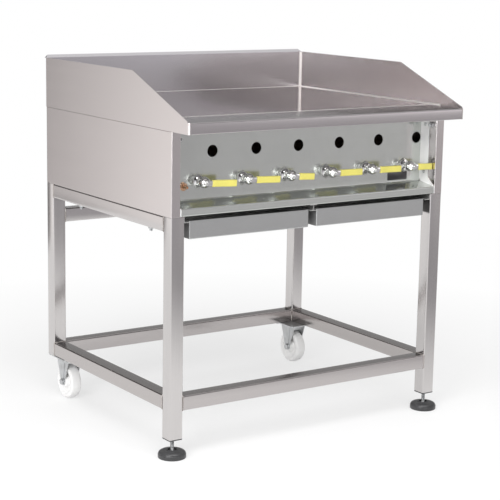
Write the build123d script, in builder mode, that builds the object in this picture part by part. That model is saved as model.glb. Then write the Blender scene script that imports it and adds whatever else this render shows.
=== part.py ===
from build123d import *
import os

os.makedirs("parts", exist_ok=True)

# Overall sizes of the griddle, in millimetres, with the floor at z = 0
overall_width = 900
casing_depth = 700
apron_overhang = 80
inlet_reach = 28
casing_bottom = 640
casing_height = 220
top_height = 30
guard_height = 140
guard_flat_start = 202
guard_corner = 8
back_fold_rise = 8
back_fold_return = 9

# Sheet metal and plate
sheet = 1.5
fold_radius = 3
edge_round = 1.2
plate_thickness = 10
plate_chamfer = 0.8
plate_setback = 50
bearer_width = 10
apron_return = 15

# Square tube stand
tube_size = 40
tube_wall = 2
tube_corner = 4
front_leg_bottom = 50
castor_height = 128
rear_rail_gap = 14

# Casing flanges and the recessed control panel
post_face = 27
post_return = 30
rear_flange = 20
top_flange = 20
bottom_flange = 40
panel_recess = 66
panel_end_gap = 29
panel_flange_depth = 35
panel_top_drop = 10
panel_top_flange = 15
panel_lip = 20
panel_lip_return = 15
shelf_rise = 10
flange_cut_rise = 22
view_hole_diameter = 32
view_hole_height = 156
view_hole_shift = 45
back_vent_width = 60
back_vent_height = 8
back_vent_pitch = 90
back_vent_count = 8
back_vent_drop = 50
bracket_depth = 27
bracket_length = 158
screw_height_low = 60
screw_height_high = 195
screw_setback = 47
screw_head_radius = 5
screw_head_height = 2.6
screw_shank_radius = 2.4
screw_shank_length = 8
screw_hole_play = 0.2
back_screw_inset = 10
back_screw_height = 40
back_screw_pitch = 70
back_screw_count = 3

# Gas taps, manifold and burners
burner_count = 6
tap_left_inset = 118.25
tap_right_inset = 91
tap_height = 80
tap_barrel_radius = 15
tap_bonnet_radius = 14
tap_bonnet_length = 33
tap_collar_radius = 19
tap_collar_length = 4
tap_nut_flats = 38
tap_nut_length = 8
tap_barrel_back = 26
tap_spigot_radius = 9
tap_outlet_radius = 8
tap_outlet_setback = 16
tap_holder_radius = 10
tap_holder_length = 24
manifold_setback = 45
manifold_radius = 13.5
manifold_wall = 2.6
manifold_bend = 30
manifold_side_gap = 50
manifold_left_gap = 62
injector_radius = 6
injector_length = 14
injector_tip_radius = 2.5
burner_height = 130
burner_radius = 19
burner_wall = 1.5
burner_mouth_radius = 22
burner_throat_radius = 14
burner_mouth_gap = 8
burner_flare = 18
burner_throat_length = 14
burner_cone = 24
burner_end_gap = 50
port_count = 9
port_width = 2
port_length = 16
port_start = 90
burner_rail_sheet = 2
burner_rail_foot = 30
burner_rail_setback = 60
burner_rail_end_gap = 90
inlet_radius = 10.5
inlet_hex_flats = 27
inlet_hex_length = 12
inlet_nut_length = 8
nipple_radius = 5
nipple_collar_radius = 12
nipple_collar_length = 5
nipple_reach = 22
nipple_drop = 12
nipple_inset = 74

# Tap levers and their grips
spindle_radius = 5
spindle_depth = 22
spindle_shoulder_radius = 8
lever_standoff = 50
lever_width = 13
lever_thickness = 3
lever_nut_flats = 13
lever_nut_length = 6
grip_start = 15
grip_long = 73
grip_height = 18
grip_thickness = 9
grip_corner = 2.5
grip_end_wall = 4
grip_post_gap = 1.5
short_levers = (2, 5)
lever_droops = (3, 2.5, 3.5, 1, 1, 2)

# Drip trays and their runners
tray_sheet = 1.2
tray_front_inset = 8
tray_depth = 600
tray_height = 48
tray_drop = 12
tray_side_gap = 19
tray_gap = 26
tray_corner = 3
tray_bottom_round = 2.5
tray_pull_depth = 10
runner_sheet = 2
runner_play = 1
runner_rest_gap = 0.3
ledge_gap = 2
runner_front_inset = 4
runner_top_gap = 1

# Castors
wheel_diameter = 100
wheel_width = 32
wheel_shoulder = 6
wheel_rim = 13
wheel_web = 14
hub_radius = 17
hub_width = 38
castor_plate_width = 85
castor_plate_length = 105
castor_plate_thickness = 3
castor_plate_corner = 8
castor_bolt_x = 66
castor_bolt_y = 80
fork_sheet = 2.5
fork_side_gap = 0.6
fork_top_width = 72
fork_eye_radius = 11
fork_rib = 1.5
fork_rib_top = 30
fork_rib_bottom = 14
axle_radius = 5
axle_head_flats = 17
axle_head_length = 6.5

# Levelling feet
foot_radius = 37.5
foot_rim = 9
foot_rim_chamfer = 2
foot_height = 22
foot_hub_radius = 18
foot_dish_radius = 12
foot_dish_depth = 4
stud_radius = 5
stud_engagement = 42
insert_cap = 3
insert_depth = 24

# Hexagon bolts that hold the casing and the castors
bolt_radius = 4
bolt_head_flats = 13
bolt_head_height = 5.3
bolt_nut_height = 6.5
bolt_tail = 3
castor_bolt_grip = 12
casing_bolt_front = 135
casing_bolt_back = 176

# Named clearances
running_gap = 0.06
thread_gap = 0.05
bolt_play = 0.5
barrel_play = 0.3
insert_play = 0.1
grip_play = 0.05
weld_gap = 0.5

# Places that follow from the sizes
half_width = overall_width / 2
depth_total = apron_overhang + casing_depth + inlet_reach
apron_front = -depth_total / 2
casing_front = apron_front + apron_overhang
casing_back = casing_front + casing_depth
casing_top = casing_bottom + casing_height
plate_top = casing_top + top_height
guard_top = casing_top + guard_height
inner_face = half_width - sheet
plate_front = casing_front + plate_setback
plate_back = casing_back - sheet
plate_bottom = plate_top - plate_thickness
leg_x = half_width - tube_size / 2
leg_inner = half_width - tube_size
front_leg_y = casing_front + tube_size / 2
rear_leg_y = casing_back - tube_size / 2
side_rail_front = casing_front + tube_size
side_rail_length = casing_depth - 2 * tube_size
cross_rail_length = overall_width - 2 * tube_size
tube_bore = tube_size - 2 * tube_wall
panel_y = casing_front + panel_recess
panel_half = half_width - panel_end_gap
panel_top = casing_top - panel_top_drop
lip_bottom = casing_bottom + sheet
shelf_front = lip_bottom + panel_lip
shelf_back = shelf_front + shelf_rise
post_inner = half_width - post_face
tap_z = casing_bottom + tap_height
burner_z = casing_bottom + burner_height
burner_pitch = (overall_width - tap_left_inset - tap_right_inset) / (burner_count - 1)
burner_xs = [tap_left_inset - half_width + burner_pitch * i for i in range(burner_count)]
manifold_y = panel_y + manifold_setback
spigot_end = manifold_setback - manifold_radius + manifold_wall
injector_start = tap_outlet_setback - tap_holder_radius + tap_holder_length
burner_mouth_y = panel_y + injector_start + injector_length + burner_mouth_gap
burner_back_y = casing_back - burner_end_gap
rail_ys = (burner_mouth_y + burner_rail_setback, casing_back - burner_rail_end_gap)
manifold_left = -half_width + manifold_left_gap
manifold_right = half_width - manifold_side_gap
lever_y = panel_y - lever_standoff
grip_short = post_inner - grip_post_gap - burner_xs[-1] - grip_start
tray_top = casing_bottom - tray_drop
tray_bottom = tray_top - tray_height
tray_front = casing_front + tray_front_inset
tray_width = (cross_rail_length - 2 * tray_side_gap - tray_gap) / 2
tray_x = tray_gap / 2 + tray_width / 2
ledge_top = tray_top - tray_sheet - runner_rest_gap
runner_length = tray_front_inset + tray_depth - runner_front_inset
rear_rail_z = tray_bottom - rear_rail_gap - tube_size / 2
upper_rail_z = casing_bottom - tube_size / 2
lower_rail_z = castor_height + tube_size / 2
wheel_radius = wheel_diameter / 2
castor_x = half_width - castor_plate_width / 2
castor_y = casing_back - castor_plate_length / 2
fork_offset = hub_width / 2 + fork_side_gap
fork_top = castor_height - castor_plate_thickness
casing_bolt_ys = (casing_front + casing_bolt_front, casing_back - casing_bolt_back)
castor_bolt_side = (castor_x + castor_bolt_x / 2, castor_y - castor_bolt_y / 2)
castor_bolt_rear = (castor_x - castor_bolt_x / 2, castor_y + castor_bolt_y / 2)
cheek_screw_y = casing_front + screw_setback
cheek_screw_zs = [casing_bottom + height for height in (screw_height_low, screw_height_high)]
back_screw_x = half_width - back_screw_inset
back_screw_zs = [casing_bottom + back_screw_height + back_screw_pitch * i for i in range(back_screw_count)]
sides = (("left", -1), ("right", 1))


def save(builder, name):
    """Label a finished piece and write it to its own file."""
    builder.part.label = name
    export_step(builder.part, f"parts/{name}.step")


def front_plane(y):
    """Plane across the griddle at depth y: local x is X, local y is Z, and it faces the front."""
    return Plane(origin=(0, y, 0), x_dir=(1, 0, 0), z_dir=(0, -1, 0))


def square_tube(start, direction, length, holes=(), hole_bottom=0, hole_depth=0):
    """Hollow square tube from a start point, with optional upright bolt holes at (x, y) places."""
    with BuildPart() as tube:
        with BuildSketch(Plane(origin=start, z_dir=direction)):
            RectangleRounded(tube_size, tube_size, tube_corner)
            RectangleRounded(tube_bore, tube_bore, tube_corner - tube_wall, mode=Mode.SUBTRACT)
        extrude(amount=length)
        if holes:
            with BuildSketch(Plane.XY.offset(hole_bottom)):
                with Locations(*holes):
                    Circle(bolt_radius + bolt_play)
            extrude(amount=hole_depth, mode=Mode.SUBTRACT)
    return tube


# Four legs: the front pair stands on levelling feet, the rear pair ends on the castor plates
for side, sign in sides:
    front_start = front_leg_bottom + insert_cap
    front_length = casing_bottom - front_start
    front_leg = square_tube((sign * leg_x, front_leg_y, front_start), (0, 0, 1), front_length)
    save(front_leg, f"leg_front_{side}")
    rear_length = casing_bottom - castor_height
    rear_leg = square_tube((sign * leg_x, rear_leg_y, castor_height), (0, 0, 1), rear_length)
    save(rear_leg, f"leg_rear_{side}")

# Side rails: the upper ones carry the casing, the lower ones carry the castors
for side, sign in sides:
    casing_holes = [(sign * leg_x, y) for y in casing_bolt_ys]
    upper_rail = square_tube(
        (sign * leg_x, side_rail_front, upper_rail_z),
        (0, 1, 0),
        side_rail_length,
        casing_holes,
        casing_bottom - tube_size,
        tube_size,
    )
    save(upper_rail, f"upper_rail_{side}")
    castor_hole = [(sign * castor_bolt_side[0], castor_bolt_side[1])]
    lower_rail = square_tube(
        (sign * leg_x, side_rail_front, lower_rail_z),
        (0, 1, 0),
        side_rail_length,
        castor_hole,
        castor_height,
        2 * tube_wall,
    )
    save(lower_rail, f"lower_rail_{side}")

# Cross rails: the rear upper one hangs lower, so that the trays pass above it
cross_start_x = -cross_rail_length / 2
upper_rail_rear = square_tube((cross_start_x, rear_leg_y, rear_rail_z), (1, 0, 0), cross_rail_length)
save(upper_rail_rear, "upper_rail_rear")
lower_rail_front = square_tube((cross_start_x, front_leg_y, lower_rail_z), (1, 0, 0), cross_rail_length)
save(lower_rail_front, "lower_rail_front")
rear_castor_holes = [(sign * castor_bolt_rear[0], castor_bolt_rear[1]) for side, sign in sides]
lower_rail_rear = square_tube(
    (cross_start_x, rear_leg_y, lower_rail_z),
    (1, 0, 0),
    cross_rail_length,
    rear_castor_holes,
    castor_height,
    2 * tube_wall,
)
save(lower_rail_rear, "lower_rail_rear")

# Threaded plugs that close the front legs and take the feet's studs
with BuildPart() as leg_inserts:
    leg_places = [(sign * leg_x, front_leg_y) for side, sign in sides]
    with BuildSketch(Plane.XY.offset(front_leg_bottom)):
        with Locations(*leg_places):
            RectangleRounded(tube_size, tube_size, tube_corner)
    extrude(amount=insert_cap)
    with BuildSketch(Plane.XY.offset(front_leg_bottom + insert_cap)):
        with Locations(*leg_places):
            insert_width = tube_bore - 2 * insert_play
            RectangleRounded(insert_width, insert_width, tube_corner - tube_wall)
    extrude(amount=insert_depth)
    with BuildSketch(Plane.XY.offset(front_leg_bottom)):
        with Locations(*leg_places):
            Circle(stud_radius + running_gap)
    extrude(amount=insert_cap + insert_depth, mode=Mode.SUBTRACT)
save(leg_inserts, "leg_inserts")

# Levelling feet: a stepped round pad with a dished hub, on a threaded stud
for side, sign in sides:
    foot_plane = Plane(origin=(sign * leg_x, front_leg_y, 0), x_dir=(1, 0, 0), z_dir=(0, -1, 0))
    with BuildPart() as foot_pad:
        with BuildSketch(foot_plane):
            with BuildLine():
                Polyline(
                    (0, 0),
                    (foot_radius, 0),
                    (foot_radius, foot_rim),
                    (foot_hub_radius, foot_height),
                    (foot_dish_radius, foot_height),
                    (foot_dish_radius, foot_height - foot_dish_depth),
                    (0, foot_height - foot_dish_depth),
                    close=True,
                )
            make_face()
        revolve(axis=Axis((sign * leg_x, front_leg_y, 0), (0, 0, 1)))
        rim_edges = foot_pad.edges().filter_by(GeomType.CIRCLE).sort_by(SortBy.RADIUS)[-2:]
        chamfer(rim_edges, length=foot_rim_chamfer)
    save(foot_pad, f"foot_pad_{side}")

    stud_bottom = foot_height - foot_dish_depth
    with BuildPart() as foot_stud:
        with BuildSketch(Plane(origin=(sign * leg_x, front_leg_y, stud_bottom))):
            Circle(stud_radius)
        extrude(amount=front_leg_bottom + stud_engagement - stud_bottom)
        chamfer(foot_stud.edges().group_by(Axis.Z)[-1], length=stud_radius / 5)
    save(foot_stud, f"foot_stud_{side}")

# Fixed castor forks: a bolted plate and two pressed V-shaped legs with a raised rib
for side, sign in sides:
    centre_x = sign * castor_x
    with BuildPart() as castor_fork:
        with BuildSketch(Plane(origin=(centre_x, castor_y, fork_top))):
            RectangleRounded(castor_plate_width, castor_plate_length, castor_plate_corner)
            with GridLocations(castor_bolt_x, castor_bolt_y, 2, 2):
                Circle(bolt_radius + bolt_play, mode=Mode.SUBTRACT)
        extrude(amount=castor_plate_thickness)
        for face in (-1, 1):
            leg_place = (centre_x + face * fork_offset, castor_y, 0)
            leg_plane = Plane(origin=leg_place, x_dir=(0, 1, 0), z_dir=(1, 0, 0))
            with BuildSketch(leg_plane):
                with Locations((0, wheel_radius)):
                    Circle(fork_eye_radius)
                with Locations((0, fork_top - castor_plate_thickness / 2)):
                    Rectangle(fork_top_width, castor_plate_thickness)
                make_hull()
            extrude(amount=face * fork_sheet)
            with BuildSketch(leg_plane.offset(face * fork_sheet)):
                with BuildLine():
                    Polyline(
                        (-fork_rib_top / 2, fork_top),
                        (-fork_rib_bottom / 2, wheel_radius + fork_eye_radius),
                        (fork_rib_bottom / 2, wheel_radius + fork_eye_radius),
                        (fork_rib_top / 2, fork_top),
                        close=True,
                    )
                make_face()
            extrude(amount=face * fork_rib)
        with BuildSketch(Plane(origin=(centre_x, castor_y, 0), x_dir=(0, 1, 0), z_dir=(1, 0, 0))):
            with Locations((0, wheel_radius)):
                Circle(axle_radius + thread_gap)
        extrude(amount=castor_plate_width, both=True, mode=Mode.SUBTRACT)
    save(castor_fork, f"castor_fork_{side}")

# Castor wheels: one nylon moulding with a round-shouldered tread, a thin web and a long hub
for side, sign in sides:
    wheel_plane = Plane(origin=(sign * castor_x, castor_y, wheel_radius), x_dir=(1, 0, 0), z_dir=(0, -1, 0))
    tread_half = wheel_width / 2
    web_half = wheel_web / 2
    hub_half = hub_width / 2
    rim_radius = wheel_radius - wheel_rim
    shoulder_step = wheel_shoulder * 0.3
    with BuildPart() as castor_wheel:
        with BuildSketch(wheel_plane):
            with BuildLine():
                Polyline(
                    (-tread_half, wheel_radius - wheel_shoulder),
                    (-tread_half, rim_radius),
                    (-web_half, rim_radius - wheel_shoulder),
                    (-web_half, hub_radius + wheel_shoulder / 2),
                    (-hub_half, hub_radius),
                    (-hub_half, axle_radius + running_gap),
                    (hub_half, axle_radius + running_gap),
                    (hub_half, hub_radius),
                    (web_half, hub_radius + wheel_shoulder / 2),
                    (web_half, rim_radius - wheel_shoulder),
                    (tread_half, rim_radius),
                    (tread_half, wheel_radius - wheel_shoulder),
                    (tread_half - shoulder_step, wheel_radius - shoulder_step),
                    (tread_half - wheel_shoulder, wheel_radius),
                    (wheel_shoulder - tread_half, wheel_radius),
                    (shoulder_step - tread_half, wheel_radius - shoulder_step),
                    close=True,
                )
            make_face()
        revolve(axis=Axis((sign * castor_x, castor_y, wheel_radius), (1, 0, 0)))
    save(castor_wheel, f"castor_wheel_{side}")

# Castor axles: a hexagon head outside, a shank through fork and hub, a nut inside
axle_half = fork_offset + fork_sheet
with BuildPart() as castor_axles:
    for side, sign in sides:
        axle_plane = Plane(
            origin=(sign * castor_x - axle_half, castor_y, wheel_radius), x_dir=(0, 1, 0), z_dir=(1, 0, 0)
        )
        with BuildSketch(axle_plane):
            Circle(axle_radius)
        extrude(amount=2 * axle_half)
        with BuildSketch(axle_plane, axle_plane.offset(2 * axle_half + axle_head_length)):
            RegularPolygon(axle_head_flats / 2, 6, major_radius=False)
        extrude(amount=-axle_head_length)
save(castor_axles, "castor_axles")

# Casing sides: one folded sheet each, with a front post, its return, and rear, top and bottom flanges
for side, sign in sides:
    with BuildPart() as side_panel:
        with BuildSketch(Plane.XY.offset(casing_bottom)):
            with BuildLine():
                FilletPolyline(
                    (sign * post_inner, casing_front + post_return),
                    (sign * post_inner, casing_front),
                    (sign * half_width, casing_front),
                    (sign * half_width, casing_back),
                    (sign * (half_width - rear_flange), casing_back),
                    radius=fold_radius,
                )
                offset(amount=sheet, side=Side.LEFT if sign > 0 else Side.RIGHT)
            make_face()
        extrude(amount=casing_height)
        casing_middle = (casing_front + casing_back) / 2
        for flange, level in ((bottom_flange, casing_bottom), (top_flange, casing_top - sheet)):
            with BuildSketch(Plane.XY.offset(level)):
                with Locations((sign * (half_width - (flange + sheet) / 2), casing_middle)):
                    Rectangle(flange - sheet, casing_depth - 2 * sheet)
            extrude(amount=sheet)
        outer_edges = side_panel.edges().filter_by(Axis.Y).group_by(Axis.X)[0 if sign < 0 else -1]
        fillet(outer_edges, radius=edge_round)
        with BuildSketch(Plane.XY.offset(casing_bottom)):
            with Locations(*[(sign * leg_x, y) for y in casing_bolt_ys]):
                Circle(bolt_radius + bolt_play)
        extrude(amount=sheet, mode=Mode.SUBTRACT)
        with BuildSketch(front_plane(casing_back)):
            with Locations(*[(sign * back_screw_x, z) for z in back_screw_zs]):
                Circle(screw_shank_radius + screw_hole_play)
        extrude(amount=sheet, mode=Mode.SUBTRACT)
    save(side_panel, f"side_panel_{side}")

# Back panel inside the rear flanges, with flue slots near its top and a hole for the gas inlet
back_face = casing_back - sheet
back_half = inner_face - ledge_gap
with BuildPart() as back_panel:
    with BuildSketch(front_plane(back_face)):
        with Locations((0, (lip_bottom + casing_top - sheet) / 2)):
            Rectangle(2 * back_half, casing_height - 2 * sheet)
        with Locations((0, casing_top - back_vent_drop)):
            with GridLocations(back_vent_pitch, 2 * back_vent_height, back_vent_count, 2):
                SlotOverall(back_vent_width, back_vent_height, mode=Mode.SUBTRACT)
        with Locations((manifold_right, tap_z)):
            Circle(inlet_radius + bolt_play, mode=Mode.SUBTRACT)
        with Locations(*[(sign * back_screw_x, z) for side, sign in sides for z in back_screw_zs]):
            Circle(screw_shank_radius + screw_hole_play, mode=Mode.SUBTRACT)
    extrude(amount=sheet)
save(back_panel, "back_panel")

# Control panel: one sheet folded into a face, a sloping shelf, a lip, and a cheek at each end
panel_outer = panel_half + sheet
cheek_front = panel_y - panel_flange_depth
corner_relief = 2 * fold_radius
shelf_slope = shelf_rise / panel_recess
with BuildPart() as control_panel:
    with BuildSketch(Plane.YZ.offset(-panel_outer)):
        with BuildLine():
            FilletPolyline(
                (panel_y + panel_top_flange, panel_top),
                (panel_y, panel_top),
                (panel_y, shelf_back),
                (casing_front, shelf_front),
                (casing_front, lip_bottom),
                (casing_front + panel_lip_return, lip_bottom),
                radius=fold_radius,
            )
            offset(amount=sheet, side=Side.LEFT)
        make_face()
    extrude(amount=2 * panel_outer)
    with BuildSketch(Plane.YZ.offset(-panel_outer), Plane.YZ.offset(panel_half)):
        with BuildLine():
            Polyline(
                (panel_y + sheet / 2, panel_top - corner_relief),
                (cheek_front, panel_top - corner_relief),
                (cheek_front, shelf_front + flange_cut_rise),
                (casing_front + corner_relief, shelf_front + shelf_slope * corner_relief + sheet),
                (casing_front + corner_relief, shelf_front + shelf_slope * corner_relief - sheet / 2),
                (panel_y - corner_relief, shelf_back - shelf_slope * corner_relief - sheet / 2),
                (panel_y + sheet / 2, shelf_back + corner_relief),
                close=True,
            )
        make_face()
    extrude(amount=sheet)
    with BuildSketch(front_plane(panel_y + sheet)):
        with Locations(*[(x + view_hole_shift, casing_bottom + view_hole_height) for x in burner_xs]):
            Circle(view_hole_diameter / 2)
        with Locations(*[(x, tap_z) for x in burner_xs]):
            Circle(tap_barrel_radius + barrel_play)
        with Locations((-half_width + nipple_inset, tap_z - nipple_drop)):
            Circle(nipple_radius + bolt_play)
    extrude(amount=2 * sheet, mode=Mode.SUBTRACT)
    with BuildSketch(Plane.YZ.offset(-panel_outer)):
        with Locations(*[(cheek_screw_y, z) for z in cheek_screw_zs]):
            Circle(screw_shank_radius + screw_hole_play)
    extrude(amount=2 * panel_outer, mode=Mode.SUBTRACT)
save(control_panel, "control_panel")

# Channel brackets that carry the control panel's cheeks from the casing sides
with BuildPart() as panel_brackets:
    for side, sign in sides:
        with BuildSketch(Plane.XY.offset(panel_top - bracket_length)):
            with BuildLine():
                Polyline(
                    (sign * inner_face, cheek_screw_y - bracket_depth / 2),
                    (sign * panel_outer, cheek_screw_y - bracket_depth / 2),
                    (sign * panel_outer, cheek_screw_y + bracket_depth / 2),
                    (sign * inner_face, cheek_screw_y + bracket_depth / 2),
                )
                offset(amount=sheet, side=Side.RIGHT if sign > 0 else Side.LEFT)
            make_face()
        extrude(amount=bracket_length - sheet)
    with BuildSketch(Plane.YZ.offset(-inner_face)):
        with Locations(*[(cheek_screw_y, z) for z in cheek_screw_zs]):
            Circle(screw_shank_radius + screw_hole_play)
    extrude(amount=2 * inner_face, mode=Mode.SUBTRACT)
save(panel_brackets, "panel_brackets")

# Pan-head screws of the control panel's cheeks and of the back panel
with BuildPart() as panel_screws:
    for side, sign in sides:
        seats = [((sign * panel_half, cheek_screw_y, z), (-sign, 0, 0)) for z in cheek_screw_zs]
        seats += [((sign * back_screw_x, casing_back, z), (0, 1, 0)) for z in back_screw_zs]
        for seat, outward in seats:
            with BuildSketch(Plane(origin=seat, z_dir=outward)):
                Circle(screw_head_radius)
            extrude(amount=screw_head_height)
            with BuildSketch(Plane(origin=seat, z_dir=outward)):
                Circle(screw_shank_radius)
            extrude(amount=-screw_shank_length)
save(panel_screws, "panel_screws")

# Hexagon bolts: casing to upper rails with nuts inside, castor plates into the lower rails
with BuildPart() as frame_bolts:
    rail_bottom = casing_bottom - tube_size
    nut_bottom = casing_bottom + sheet
    casing_places = [(sign * leg_x, y) for side, sign in sides for y in casing_bolt_ys]
    castor_places = [(sign * x, y) for side, sign in sides for x, y in (castor_bolt_side, castor_bolt_rear)]
    casing_shank = tube_size + sheet + bolt_nut_height + bolt_tail
    castor_shank = castor_plate_thickness + castor_bolt_grip
    casing_set = (casing_places, rail_bottom, casing_shank)
    castor_set = (castor_places, fork_top, castor_shank)
    for places, seat, shank in (casing_set, castor_set):
        with BuildSketch(Plane.XY.offset(seat)):
            with Locations(*places):
                RegularPolygon(bolt_head_flats / 2, 6, major_radius=False)
        extrude(amount=-bolt_head_height)
        with BuildSketch(Plane.XY.offset(seat)):
            with Locations(*places):
                Circle(bolt_radius)
        extrude(amount=shank)
    with BuildSketch(Plane.XY.offset(nut_bottom)):
        with Locations(*casing_places):
            RegularPolygon(bolt_head_flats / 2, 6, major_radius=False)
    extrude(amount=bolt_nut_height)
save(frame_bolts, "frame_bolts")

# Griddle plate and the bearer bars welded under its edges
with BuildPart() as griddle_plate:
    with BuildSketch(Plane.XY.offset(plate_bottom)):
        with Locations((0, (plate_front + plate_back) / 2)):
            Rectangle(2 * inner_face, plate_back - plate_front)
    extrude(amount=plate_thickness)
    top_edges = griddle_plate.edges().filter_by(Axis.X).group_by(Axis.Z)[-1]
    chamfer(top_edges.sort_by(Axis.Y)[0], length=plate_chamfer)
save(griddle_plate, "griddle_plate")

with BuildPart() as plate_bearers:
    plate_middle = (plate_front + plate_back) / 2
    bearer_x = inner_face - bearer_width / 2
    bearer_y = (plate_back - plate_front - bearer_width) / 2
    with BuildSketch(Plane.XY.offset(casing_top)):
        with Locations((-bearer_x, plate_middle), (bearer_x, plate_middle)):
            Rectangle(bearer_width, plate_back - plate_front)
        with Locations((0, plate_middle - bearer_y), (0, plate_middle + bearer_y)):
            Rectangle(2 * (inner_face - bearer_width - weld_gap), bearer_width)
    extrude(amount=top_height - plate_thickness)
save(plate_bearers, "plate_bearers")

# Side splash guards: a sheet that slopes down to the apron, with a round front corner
corner_y = apron_front + guard_corner
for side, sign in sides:
    slope_start = casing_front + guard_flat_start
    slope = (guard_top - plate_top) / (slope_start - apron_front)
    with BuildPart() as splash_guard:
        with BuildSketch(Plane.YZ.offset(sign * (half_width - sheet / 2) - sheet / 2)):
            with BuildLine():
                Polyline(
                    (corner_y, casing_top),
                    (plate_back, casing_top),
                    (plate_back, guard_top),
                    (slope_start, guard_top),
                    (corner_y, plate_top + slope * guard_corner),
                    close=True,
                )
            make_face()
        extrude(amount=sheet)
        corner_plane = Plane(origin=(sign * (half_width - guard_corner), corner_y, casing_top))
        with BuildSketch(corner_plane):
            Circle(guard_corner)
            Circle(guard_corner - sheet, mode=Mode.SUBTRACT)
            with Locations((sign * guard_corner / 2, -guard_corner / 2)):
                Rectangle(guard_corner, guard_corner, mode=Mode.INTERSECT)
        extrude(amount=top_height)
    save(splash_guard, f"splash_guard_{side}")

# Back splash guard: a sheet with a sloping fold along its top, mitred at both ends
with BuildPart() as splash_guard_back:
    fold_y = plate_back + back_fold_rise
    fold_z = guard_top + back_fold_rise
    with BuildSketch(Plane.YZ.offset(-half_width)):
        with BuildLine():
            Polyline(
                (plate_back, casing_top),
                (plate_back, guard_top),
                (fold_y, fold_z),
                (fold_y, fold_z - back_fold_return),
            )
            offset(amount=sheet, side=Side.RIGHT)
        make_face()
    extrude(amount=overall_width)
    for side, sign in sides:
        with BuildSketch(front_plane(plate_back - sheet)):
            with BuildLine():
                Polyline(
                    (sign * half_width, guard_top),
                    (sign * (half_width + sheet), guard_top),
                    (sign * (half_width + sheet), fold_z + sheet),
                    (sign * (half_width - back_fold_rise), fold_z + sheet),
                    (sign * (half_width - back_fold_rise), fold_z),
                    close=True,
                )
            make_face()
        extrude(amount=-2 * (back_fold_rise + sheet), mode=Mode.SUBTRACT)
save(splash_guard_back, "splash_guard_back")

# Front apron: the sheet ahead of the plate, folded down into the front lip
apron_half = half_width - guard_corner
with BuildPart() as front_apron:
    with BuildSketch(Plane.YZ.offset(-apron_half)):
        with BuildLine():
            FilletPolyline(
                (plate_front, plate_top),
                (apron_front, plate_top),
                (apron_front, casing_top),
                (apron_front + apron_return, casing_top),
                radius=fold_radius,
            )
            offset(amount=sheet, side=Side.LEFT)
        make_face()
    extrude(amount=2 * apron_half)
    for side, sign in sides:
        with BuildSketch(Plane.XY.offset(plate_top - sheet)):
            with Locations((sign * (inner_face + apron_half) / 2, (corner_y + plate_front) / 2)):
                Rectangle(inner_face - apron_half, plate_front - corner_y)
            with Locations((sign * apron_half, corner_y)):
                Circle(guard_corner - sheet)
        extrude(amount=sheet)
save(front_apron, "front_apron")

# Gas manifold: one pipe along the back of the panel, bent to the rear at the right, with a hole per tap
with BuildPart() as gas_manifold:
    with BuildLine(Plane.XY.offset(tap_z)) as manifold_route:
        FilletPolyline(
            (manifold_left, manifold_y),
            (manifold_right, manifold_y),
            (manifold_right, back_face - sheet - inlet_hex_length),
            radius=manifold_bend,
        )
    with BuildSketch(Plane(origin=manifold_route.line @ 0, z_dir=manifold_route.line % 0)):
        Circle(manifold_radius)
        Circle(manifold_radius - manifold_wall, mode=Mode.SUBTRACT)
    sweep(path=manifold_route.line)
    with BuildSketch(Plane(origin=(manifold_left, manifold_y, tap_z), z_dir=(1, 0, 0))):
        Circle(manifold_radius - manifold_wall / 2)
    extrude(amount=manifold_wall)
    with BuildSketch(front_plane(manifold_y)):
        with Locations(*[(x, tap_z) for x in burner_xs]):
            Circle(tap_spigot_radius + thread_gap)
    extrude(amount=2 * manifold_radius, mode=Mode.SUBTRACT)
save(gas_manifold, "gas_manifold")

# Gas inlet: a bulkhead fitting held by its nut, with a male pipe thread behind the back panel
inlet_start = back_face - sheet - inlet_hex_length
inlet_length = casing_back + inlet_reach - inlet_start
inlet_plane = Plane(origin=(manifold_right, inlet_start, tap_z), x_dir=(1, 0, 0), z_dir=(0, 1, 0))
with BuildPart() as gas_inlet:
    with BuildSketch(inlet_plane):
        RegularPolygon(inlet_hex_flats / 2, 6, major_radius=False)
    extrude(amount=inlet_hex_length)
    with BuildSketch(inlet_plane.offset(inlet_hex_length + sheet)):
        RegularPolygon(inlet_hex_flats / 2, 6, major_radius=False)
    extrude(amount=inlet_nut_length)
    with BuildSketch(inlet_plane):
        Circle(inlet_radius)
    extrude(amount=inlet_length)
    with BuildSketch(inlet_plane):
        Circle(inlet_radius - manifold_wall)
    extrude(amount=inlet_length, mode=Mode.SUBTRACT)
save(gas_inlet, "gas_inlet")

# Brass test nipple: from the manifold's left end out through the panel
nipple_place = (-half_width + nipple_inset, panel_y, tap_z - nipple_drop)
with BuildPart() as test_nipple:
    with BuildSketch(Plane(origin=nipple_place, x_dir=(1, 0, 0), z_dir=(0, -1, 0))):
        Circle(nipple_radius)
    extrude(amount=nipple_reach)
    extrude(test_nipple.faces().sort_by(Axis.Y)[-1], amount=manifold_setback)
    with BuildSketch(Plane(origin=nipple_place, x_dir=(1, 0, 0), z_dir=(0, -1, 0))):
        RegularPolygon(nipple_collar_radius, 6)
    extrude(amount=nipple_collar_length)
    with BuildSketch(Plane(origin=(manifold_left, manifold_y, tap_z), z_dir=(1, 0, 0))):
        Circle(manifold_radius + thread_gap)
    extrude(amount=overall_width / 2, mode=Mode.SUBTRACT)
save(test_nipple, "test_nipple")

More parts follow.
